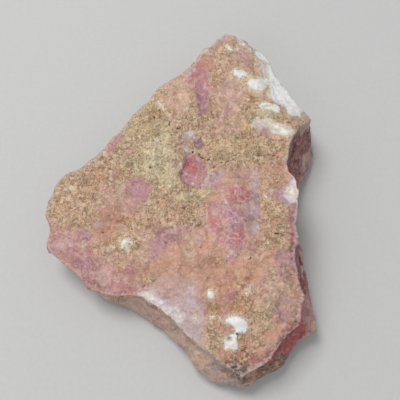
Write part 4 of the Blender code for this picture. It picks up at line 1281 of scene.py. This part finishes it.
# How rough a cloud is, and the range that it seldom leaves
CLOUD_ROUGHNESS = 0.6
CLOUD_RANGE = (0.3, 0.7)


def add(tree, kind, inputs=None, **settings):
    """A node of a kind, with its settings; an input is a value, or a socket to link from."""
    node = tree.nodes.new(kind)
    for name, value in settings.items():
        setattr(node, name, value)
    for name, value in (inputs or {}).items():
        if isinstance(value, bpy.types.NodeSocket):
            tree.links.new(value, node.inputs[name])
        else:
            node.inputs[name].default_value = value
    return node


def do(tree, step, *values):
    """A step done with values, which go to its inputs in turn: its output."""
    return add(tree, step.kind, dict(zip(step.inputs, values)), **step.settings).outputs[step.output]


def do_all(tree, step, first, *others):
    """A step done with the first two values, then with its outcome and the third, and so on."""
    for value in others:
        first = do(tree, step, first, value)
    return first


def in_millimetres(tree):
    """The place on the piece, in millimetres."""
    return do(tree, SCALED, add(tree, "ShaderNodeTexCoord").outputs["Object"], 1 / MM)


def ranging(tree, cloud, low, high):
    """A cloud whose usual range is stretched from low to high, and held there."""
    return do(tree, REMAP, cloud, *CLOUD_RANGE, low, high)


def full(values):
    """A colour with full alpha."""
    return (*values, 1.0)


def new_material(name):
    """An empty node material: its tree, and its Principled shader already linked to the output."""
    material = bpy.data.materials.new(name)
    material.use_nodes = True
    tree = material.node_tree
    tree.nodes.clear()
    shader = add(tree, "ShaderNodeBsdfPrincipled")
    add(tree, "ShaderNodeOutputMaterial", {"Surface": shader.outputs[0]})
    return material, tree, shader


# ---------------------------------------------------------------------------------------------------------
# The stone's material
# ---------------------------------------------------------------------------------------------------------

# What the material reads from the skin's points besides their colour
STORED = ("crust", "chalk", "crack", "cobble", "crest", "pit", "edge")
# Everything fine is bent by a noise of this size (mm) and reach (mm), so that no pattern runs straight
BEND = 1.0
BEND_REACH = 1.2
# Sizes (mm) of the patterns that are too fine for the skin
GRAIN = 0.5
SPECK = 0.3
PATCHINESS = 3.2
SMALL_CHIP = 0.8
LARGE_CHIP = 2.0
LOBE = 1.5
# Specks and pinholes in a row of one millimetre
DOTS_PER_MM = 1.3
# Wandering lines: the size (mm) of the noise that they follow, and how far from its middle they reach
THREAD = (1.3, 0.03)
CURL = (0.8, 0.05)
JOINT = (2.2, 0.014)
# How much of the small and the large chips' tilt the fine relief has
SMALL_TILT = 0.32
LARGE_TILT = 0.24


def stone_values(tree):
    """What the stone's coats read: its stored values, a bent place, clouds and chips."""
    colours = bpy.context.scene.opal_colours
    skin = {name: add(tree, "ShaderNodeAttribute", attribute_name=name).outputs["Fac"] for name in STORED}
    place = in_millimetres(tree)
    noise_inputs = {"Vector": place, "Scale": 1 / BEND, "Detail": 2.0}
    wobble = add(tree, "ShaderNodeTexNoise", noise_inputs).outputs["Color"]
    bent = do(tree, MOVED, wobble, (BEND_REACH, BEND_REACH, BEND_REACH), place)
    return SimpleNamespace(
        **skin, tree=tree, colours=colours, bent=bent,
        tint=add(tree, "ShaderNodeAttribute", attribute_name="tint").outputs["Color"],
        grain=do(tree, CLOUD, bent, 1 / GRAIN, 3.0, CLOUD_ROUGHNESS),
        speck=do(tree, CLOUD, bent, 1 / SPECK, 1.0, CLOUD_ROUGHNESS),
        patchy=do(tree, CLOUD, bent, 1 / PATCHINESS, 3.0, CLOUD_ROUGHNESS),
        light=do(tree, BLEND, skin["crust"], full(colours.opal_light), full(colours.grain_light)),
        small=mosaic(tree, bent, SMALL_CHIP), large=mosaic(tree, bent, LARGE_CHIP),
    )


def mosaic(tree, place, size):
    """Chips of a size in mm: their three random numbers, and the height of their tilted planes in mm."""
    cells = add(tree, "ShaderNodeTexVoronoi", {"Vector": place, "Scale": 1 / size}).outputs
    rolls = add(tree, "ShaderNodeSeparateXYZ", {0: cells["Color"]}).outputs
    off = do(tree, APART, place, cells["Position"])
    tilt = do(tree, APART, cells["Color"], (0.5, 0.5, 0.5))
    return SimpleNamespace(rolls=rolls, plane=do(tree, DOT, off, tilt))


def squiggles(stone, size, half_width):
    """Thin wandering threads: where a noise of a size in mm crosses its middle value."""
    tree = stone.tree
    cloud = do(tree, CLOUD, stone.bent, 1 / size, 1.5, CLOUD_ROUGHNESS)
    away = do(tree, UNSIGNED, do(tree, PLUS, cloud, -0.5))
    return do(tree, REMAP, away, half_width, half_width * 0.3, 0.0, 1.0)


def by_crust(stone, on_opal, on_crust, start=0.2):
    """A strength that runs from one value on waxy opal to another on sugary crust."""
    return do(stone.tree, REMAP, stone.crust, start, 0.8, on_opal, on_crust)


def picked(stone, value, start, end, strength=1.0):
    """A strength that rises from 0 where a value is at its start to the most where it is at its end."""
    return do(stone.tree, REMAP, value, start, end, 0.0, strength)


def coat(stone, body, paint_colour, *covers):
    """A colour laid over the body so far, by the product of its covers."""
    return do(stone.tree, BLEND, do_all(stone.tree, TIMES, *covers), body, paint_colour)


def chip_shades(stone, body):
    """Chips of two sizes: each has a shade of its own, some lean to rose, some to ochre, some are pale."""
    tree, colours = stone.tree, stone.colours
    shade = do_all(
        tree, PLUS, do(tree, REMAP, stone.small.rolls[0], 0, 1, -0.5, 0.5),
        do(tree, REMAP, stone.large.rolls[0], 0, 1, -0.5, 0.5), ranging(tree, stone.grain, -0.5, 0.5),
        ranging(tree, stone.speck, -0.4, 0.4),
    )
    shade = do(tree, TIMES, shade, by_crust(stone, 0.19, 0.54, 0.1))
    shade = do(tree, REMAP, shade, -0.3, 1.0, -0.3, 1.0)
    body = do(tree, SCALED, body, do(tree, PLUS, shade, 1.0))
    lean = by_crust(stone, 0.5, 1.0, 0.1)
    hue, paleness = stone.small.rolls[1], stone.small.rolls[2]
    body = coat(stone, body, full(colours.rose), picked(stone, hue, 0.25, 0.05, 0.35), lean)
    body = coat(stone, body, full(colours.ochre_sand), picked(stone, hue, 0.78, 0.95, 0.4), lean)
    often = by_crust(stone, 0.3, 0.6, 0.1)
    return coat(stone, body, stone.light, picked(stone, paleness, 0.80, 0.95), often)


def crests_hollows_clay_and_painted_light(stone, body):
    """Crests are clean and pale with a painted highlight, hollows hold brown clay and painted shade, and
    broken edges are bruised pale with a painted highlight along them.
    """
    tree, colours = stone.tree, stone.colours
    rise = do(tree, PLUS, stone.crest, ranging(tree, stone.speck, -0.6, 0.6))
    # Crests painted paler: clean grains, and a painted highlight
    body = coat(stone, body, stone.light, picked(stone, rise, 0.3, 0.9), by_crust(stone, 0.15, 0.5))
    # Hollows painted browner: clay, and painted shade
    clay = full(colours.grain_dark)
    body = coat(stone, body, clay, picked(stone, rise, -0.2, -0.9), by_crust(stone, 0.05, 0.36))
    # Broken edges painted milky pale: partly bruising, partly a painted highlight along the rims
    edge = do(tree, PLUS, stone.edge, ranging(tree, stone.grain, -0.3, 0.3))
    return coat(stone, body, full(colours.milk), picked(stone, edge, 0.2, 0.9, 0.34))


def threads_and_seams(stone, body):
    """Short pale threads, longer brown joints, and a net of pale seams between the cobbled lobes."""
    tree, colours, patchy = stone.tree, stone.colours, stone.patchy
    clay = full(colours.grain_dark)
    where = picked(stone, patchy, 0.45, 0.6)
    body = coat(stone, body, stone.light, squiggles(stone, *THREAD), where, by_crust(stone, 0.5, 0.7))
    where = picked(stone, patchy, 0.62, 0.45)
    body = coat(stone, body, stone.light, squiggles(stone, *CURL), where, by_crust(stone, 0.15, 0.7))
    where = picked(stone, patchy, 0.52, 0.40)
    body = coat(stone, body, clay, squiggles(stone, *JOINT), where, by_crust(stone, 0.15, 0.55, 0.1))
    inputs = {"Vector": stone.bent, "Scale": 1 / LOBE}
    gap = add(tree, "ShaderNodeTexVoronoi", inputs, feature="DISTANCE_TO_EDGE").outputs["Distance"]
    seam = picked(stone, do(tree, PLUS, gap, ranging(tree, stone.speck, 0.05, -0.05)), 0.11, 0.02)
    where = picked(stone, patchy, 0.36, 0.52)
    return coat(stone, body, full(colours.bright_pink), seam, where, stone.cobble, 0.7)


def specks_and_pinholes(stone, body):
    """Loose bright specks of 0.3 mm, pinholes as small, and deeper pits in clay brown and painted shade."""
    tree, pit = stone.tree, full(stone.colours.pit)
    dots = add(tree, "ShaderNodeTexVoronoi", {"Vector": stone.bent, "Scale": DOTS_PER_MM}).outputs
    rolls = add(tree, "ShaderNodeSeparateXYZ", {0: dots["Color"]}).outputs
    dot = picked(stone, dots["Distance"], 0.24, 0.12)
    body = coat(stone, body, stone.light, dot, picked(stone, rolls[0], 0.48, 0.52), 0.8)
    deep = picked(stone, rolls[1], 0.87, 0.90)
    in_crust = picked(stone, stone.crust, 0.5, 0.9)
    body = coat(stone, body, pit, dot, deep, in_crust, picked(stone, stone.patchy, 0.45, 0.6), 0.75)
    # The relief's pits painted darker: brown clay, and painted shade
    return coat(stone, body, pit, stone.pit, 0.4)


def chalcedony(stone, body):
    """White chalcedony, with a cream halo, and a faint green tinge where it thins out at its edge."""
    tree, colours = stone.tree, stone.colours
    border = do_all(
        tree, PLUS, stone.chalk, ranging(tree, stone.grain, -0.15, 0.15),
        ranging(tree, stone.speck, -0.15, 0.15),
    )
    white = do(tree, BLEND, picked(stone, border, 0.0, 0.4), full(colours.mint), full(colours.chalk))
    white = do(tree, SCALED, white, ranging(tree, stone.grain, 0.98, 1.04))
    white = do(tree, BLEND, picked(stone, stone.patchy, 0.4, 0.7, 0.16), white, stone.tint)
    halo = picked(stone, border, -1.0, -0.1)
    body = coat(stone, body, full(colours.cream), halo, picked(stone, stone.speck, 0.42, 0.56), 0.75)
    return coat(stone, body, white, picked(stone, border, -0.12, 0.1, 0.96))


def open_cracks(stone, body):
    """Cracks and pinholes, dark brown to the bottom."""
    gap = do(stone.tree, PLUS, stone.crack, ranging(stone.tree, stone.grain, -0.14, 0.06))
    return coat(stone, body, full(stone.colours.crack), picked(stone, gap, -0.1, 0.06, 0.92))


def fine_relief(stone):
    """Relief too fine for the skin, in mm: chip planes everywhere and sand grains on the crust."""
    tree = stone.tree
    grains = do(tree, TIMES, stone.grain, by_crust(stone, 0.12, 0.5))
    small = do(tree, TIMES, stone.small.plane, SMALL_TILT)
    return do_all(tree, PLUS, small, do(tree, TIMES, stone.large.plane, LARGE_TILT), grains)


# Each coat is laid over those before it
COATS = (chip_shades, crests_hollows_clay_and_painted_light, threads_and_seams, specks_and_pinholes, chalcedony, open_cracks)


def opal_and_crust():
    """Common opal in a weathered sandy matrix, as broken from the ground.

    The opal breaks in waxy chips with a soft gloss, each a shade off its neighbours; the matrix is sugary,
    dull and full of crumbs; the chalcedony is chalky white.
    """
    material, tree, shader = new_material("rough pink opal in sandy matrix")
    stone = stone_values(tree)
    body = stone.tint
    for cover in COATS:
        body = cover(stone, body)
    tree.links.new(body, shader.inputs["Base Color"])

    # Waxy opal whose chips differ in gloss, dull crust
    gloss = do(tree, REMAP, stone.small.rolls[2], 0.0, 1.0, 0.26, 0.5)
    tree.links.new(do(tree, BETWEEN, by_crust(stone, 0.0, 1.0), gloss, 0.8), shader.inputs["Roughness"])
    bump = add(tree, "ShaderNodeBump", {"Height": fine_relief(stone), "Strength": 0.8, "Distance": MM})
    tree.links.new(bump.outputs[0], shader.inputs["Normal"])

    shader.inputs["IOR"].default_value = 1.45
    shader.inputs["Specular IOR Level"].default_value = 0.22
    shader.inputs["Subsurface Weight"].default_value = 0.1
    shader.inputs["Subsurface Radius"].default_value = (0.6, 0.5, 0.45)
    shader.inputs["Subsurface Scale"].default_value = 1.0 * MM
    return material


# ---------------------------------------------------------------------------------------------------------
# The other materials
# ---------------------------------------------------------------------------------------------------------

# Size (mm) of the mottle of a sand grain, and of the card's fibres
GRAIN_MOTTLE = 0.3
CARD_MOTTLE = 1.1


def mottled(tree, base, size, by):
    """A colour made a little darker and lighter by a cloud of a size in mm."""
    cloud = do(tree, CLOUD, in_millimetres(tree), 1 / size, 3.0, CLOUD_ROUGHNESS)
    return do(tree, SCALED, base, ranging(tree, cloud, 1 - by, 1 + by))


def loose_grains():
    """Quartz and clay sand cemented on the crust: dull, each grain its own shade of the rock under it."""
    material, tree, shader = new_material("cemented matrix sand")
    shade = add(tree, "ShaderNodeAttribute", attribute_name="shade").outputs["Fac"]
    tint = add(tree, "ShaderNodeAttribute", attribute_name="tint").outputs["Color"]
    light = full(bpy.context.scene.opal_colours.grain_light)
    body = do(tree, BLEND, do(tree, REMAP, shade, 0.2, 1.0, 0.0, 0.6), tint, light)
    tree.links.new(mottled(tree, body, GRAIN_MOTTLE, 0.15), shader.inputs["Base Color"])
    shader.inputs["Roughness"].default_value = 0.6
    shader.inputs["IOR"].default_value = 1.5
    return material


def matt_card(tone):
    """Matt card: a plain pale ground with the faintest fibre mottle."""
    material, tree, shader = new_material("matt card")
    tree.links.new(mottled(tree, tuple(tone), CARD_MOTTLE, 0.02), shader.inputs["Base Color"])
    shader.inputs["Roughness"].default_value = 0.9
    return material


# ---------------------------------------------------------------------------------------------------------
# Grain scatter
# ---------------------------------------------------------------------------------------------------------

# A grain is a lump of eight faces, one unit wide before it is scaled
GRAIN_SEGMENTS = 4
GRAIN_RINGS = 2
# Least and most that a grain is stretched each way, and the seeds of its turn and its stretch
GRAIN_STRETCH = (0.5, 1.5)
TURN_SEED = 11
STRETCH_SEED = 12


def grain_scatter(material):
    """Geometry Nodes that scatter sand grains over the crust, denser where it is sugarier."""
    tree = bpy.data.node_groups.new("scatter crust grains", "GeometryNodeTree")
    face = tree.interface
    face.new_socket("Skin", in_out="INPUT", socket_type="NodeSocketGeometry")
    for name in ("Grain Size", "Spacing", "Density"):
        face.new_socket(name, in_out="INPUT", socket_type="NodeSocketFloat")
    face.new_socket("Seed", in_out="INPUT", socket_type="NodeSocketInt")
    face.new_socket("Grains", in_out="OUTPUT", socket_type="NodeSocketGeometry")
    given = add(tree, "NodeGroupInput").outputs
    cover = add(tree, "GeometryNodeInputNamedAttribute", {"Name": "grains"}, data_type="FLOAT").outputs[0]
    scattered = add(tree, "GeometryNodeDistributePointsOnFaces", {
        "Mesh": given["Skin"], "Distance Min": given["Spacing"], "Density Max": given["Density"],
        "Density Factor": cover, "Seed": given["Seed"],
    }, distribute_method="POISSON")
    shade = add(tree, "FunctionNodeRandomValue", {2: 0.0, 3: 1.0, "Seed": given["Seed"]}, data_type="FLOAT")
    shaded = add(tree, "GeometryNodeStoreNamedAttribute", {
        "Geometry": scattered.outputs["Points"], "Name": "shade", "Value": shade.outputs[1],
    }, data_type="FLOAT", domain="POINT")
    lump = {"Radius": 0.5, "Segments": GRAIN_SEGMENTS, "Rings": GRAIN_RINGS}
    grain = add(tree, "GeometryNodeMeshUVSphere", lump)
    least, most = GRAIN_STRETCH
    stretch = do(tree, RANDOM, (least, least, least), (most, most, most), STRETCH_SEED)
    placed = add(tree, "GeometryNodeInstanceOnPoints", {
        "Points": shaded.outputs[0], "Instance": grain.outputs["Mesh"],
        "Rotation": do(tree, RANDOM, (0.0, 0.0, 0.0), (math.tau, math.tau, math.tau), TURN_SEED),
        "Scale": do(tree, SCALED, stretch, given["Grain Size"]),
    })
    solid = add(tree, "GeometryNodeRealizeInstances", {"Geometry": placed.outputs[0]})
    coated = add(tree, "GeometryNodeSetMaterial", {"Geometry": solid.outputs[0], "Material": material})
    add(tree, "NodeGroupOutput", {"Grains": coated.outputs[0]})
    return tree


# ---------------------------------------------------------------------------------------------------------
# Operators
# ---------------------------------------------------------------------------------------------------------

# How much of its pale bruising and painted highlight an edge keeps on the walls
WALL_BRUISE_AND_HIGHLIGHT = 0.35
# Where grains lie: how sugary the crust is, and how near (mm) they come to the chalk and to a crack
GRAINS_ON_CRUST = (0.6, 1.0)
GRAINS_TO_CHALK = (-0.6, -0.2)
GRAINS_TO_CRACK = (-0.5, -0.2)


class OPAL_OT_stone(Operator):
    """Make the stone's skin, with its minerals and relief"""

    bl_idname = "opal.stone"
    bl_label = "Stone"

    def execute(self, context):
        # Vector noises start from the clock unless they are given a seed
        noise.seed_set(context.scene.opal_stone.seed)
        mesh = fine_skin()
        places = read_vectors(mesh.vertices, "co")
        normals = read_vectors(mesh.vertex_normals, "vector")
        points = places / MM
        fields = skin_fields(points, normals)
        height, fields["crest"], fields["pit"] = skin_relief(points, fields)
        loose = 1 - lying_on_ground(points, normals)
        bruise_and_highlight = WALL_BRUISE_AND_HIGHLIGHT + (1 - WALL_BRUISE_AND_HIGHLIGHT) * fields.pop("upward")
        fields["edge"] = standing_out(mesh, points, normals) * bruise_and_highlight
        bare = ramp(fields["chalk"], *GRAINS_TO_CHALK) + ramp(fields["crack"], *GRAINS_TO_CRACK)
        bare = bare + fields["cobble"]
        grains = ramp(fields["crust"], *GRAINS_ON_CRUST) * (1 - bare)
        fields["grains"] = np.clip(grains, 0, 1) * loose
        write_places(mesh, places + normals * (height * loose)[:, None] * MM)
        for name, values in fields.items():
            write_attribute(mesh, name, values)
        mesh.shade_smooth()
        stone = add_piece("opal_stone", mesh, opal_and_crust())
        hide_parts(NODE)
        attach(stone, BODY)
        return {"FINISHED"}


class OPAL_OT_grains(Operator):
    """Scatter the crust's loose grains over the stone"""

    bl_idname = "opal.grains"
    bl_label = "Crust grains"

    def execute(self, context):
        settings = context.scene.opal_grains
        skin = bpy.data.objects["opal_stone"].data.copy()
        carrier = bpy.data.objects.new("grain carrier", skin)
        context.scene.collection.objects.link(carrier)
        material = loose_grains()
        tree = grain_scatter(material)
        scatter = carrier.modifiers.new("scatter", "NODES")
        scatter.node_group = tree
        chosen = {
            "Grain Size": settings.grain_size,
            "Spacing": settings.spacing,
            "Density": settings.density,
            "Seed": settings.seed,
        }
        for socket in tree.interface.items_tree:
            if socket.name in chosen:
                scatter[socket.identifier] = chosen[socket.name]
        mesh = bpy.data.meshes.new_from_object(carrier.evaluated_get(context.evaluated_depsgraph_get()))
        bpy.data.objects.remove(carrier)
        if not mesh.vertices:
            raise RuntimeError("no grains were scattered")
        write_places(mesh, read_vectors(mesh.vertices, "co"))
        mesh.shade_flat()
        grains = add_piece("crust_grains", mesh, material)
        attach(grains, BODY)
        return {"FINISHED"}


# Stage (metres): where the camera and the lights stand, and what they look at
CAMERA_PLACE = Vector((0.0041, -0.0606, 0.1561))
CAMERA_TARGET = Vector((0.0041, -0.0036, 0.0150))
CAMERA_VIEW_DEGREES = 35.0
CAMERA_NEAREST = 0.01
FLOOR_HALF = 3.0
FLOOR_CORNERS = ((-1, -1), (1, -1), (1, 1), (-1, 1))
LIGHT_TARGET = Vector((0.0, 0.0, 0.008))
KEY_PLACE = Vector((-0.20, 0.17, 0.65))
KEY_WIDTH = 0.30
FILL_PLACE = Vector((-0.30, -0.50, 0.35))
FILL_WIDTH = 0.5
SKY_COLOUR = (0.96, 0.98, 1.0)


def turned_to(start, target):
    """The turn that points a light or a camera at a place towards a target."""
    return (target - start).to_track_quat("-Z", "Y").to_euler()


class OPAL_OT_stage(Operator):
    """Lay the floor, hang the lights and set up the camera"""

    bl_idname = "opal.stage"
    bl_label = "Stage"

    def execute(self, context):
        settings = context.scene.opal_stage
        scene = context.scene
        data = bpy.data.meshes.new("floor")
        corners = [(x * FLOOR_HALF, y * FLOOR_HALF, 0.0) for x, y in FLOOR_CORNERS]
        data.from_pydata(corners, [], [range(len(corners))])
        data.materials.append(matt_card(settings.floor_colour))
        floor = bpy.data.objects.new("floor", data)
        scene.collection.objects.link(floor)

        self.hang("key light", KEY_PLACE, KEY_WIDTH, settings.key_power)
        self.hang("fill light", FILL_PLACE, FILL_WIDTH, settings.fill_power)

        world = bpy.data.worlds.new("room")
        world.use_nodes = True
        sky = world.node_tree.nodes["Background"]
        sky.inputs["Color"].default_value = full(SKY_COLOUR)
        sky.inputs["Strength"].default_value = settings.sky_strength
        scene.world = world
        scene.view_settings.view_transform = "Standard"

        lens = bpy.data.cameras.new("camera")
        lens.lens = lens.sensor_width / 2 / math.tan(math.radians(CAMERA_VIEW_DEGREES / 2))
        lens.clip_start = CAMERA_NEAREST
        camera = bpy.data.objects.new("camera", lens)
        camera.location = CAMERA_PLACE
        camera.rotation_euler = turned_to(CAMERA_PLACE, CAMERA_TARGET)
        scene.collection.objects.link(camera)
        scene.camera = camera
        return {"FINISHED"}

    @staticmethod
    def hang(name, place, width, power):
        """A square soft light at a place, turned to the stone."""
        data = bpy.data.lights.new(name, "AREA")
        data.shape = "SQUARE"
        data.size = width
        data.energy = power
        light = bpy.data.objects.new(name, data)
        light.location = place
        light.rotation_euler = turned_to(place, LIGHT_TARGET)
        bpy.context.scene.collection.objects.link(light)


class OPAL_PT_panel(Panel):
    """Lists the specimen's settings and steps"""

    bl_label = "Pink opal specimen"
    bl_space_type = "VIEW_3D"
    bl_region_type = "UI"
    bl_category = "Opal"

    def draw(self, context):
        scene = context.scene
        for settings in (scene.opal_stone, scene.opal_grains, scene.opal_stage, scene.opal_colours):
            box = self.layout.box()
            for name in settings.bl_rna.properties.keys():
                if name not in ("rna_type", "name"):
                    box.prop(settings, name)
        for step in STEPS:
            self.layout.operator(step.bl_idname)


STEPS = (OPAL_OT_stone, OPAL_OT_grains, OPAL_OT_stage)
GROUPS = {
    "opal_colours": MineralColours,
    "opal_stone": StoneSettings,
    "opal_grains": GrainSettings,
    "opal_stage": StageSettings,
}


def register():
    for group in GROUPS.values():
        bpy.utils.register_class(group)
    for name, group in GROUPS.items():
        setattr(bpy.types.Scene, name, PointerProperty(type=group))
    for kind in (*STEPS, OPAL_PT_panel):
        bpy.utils.register_class(kind)


def unregister():
    for kind in (OPAL_PT_panel, *reversed(STEPS)):
        bpy.utils.unregister_class(kind)
    for name, group in GROUPS.items():
        delattr(bpy.types.Scene, name)
        bpy.utils.unregister_class(group)


def main():
    """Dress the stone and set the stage."""
    register()
    bpy.ops.opal.stone()
    bpy.ops.opal.grains()
    bpy.ops.opal.stage()


if __name__ == "__main__":
    main()
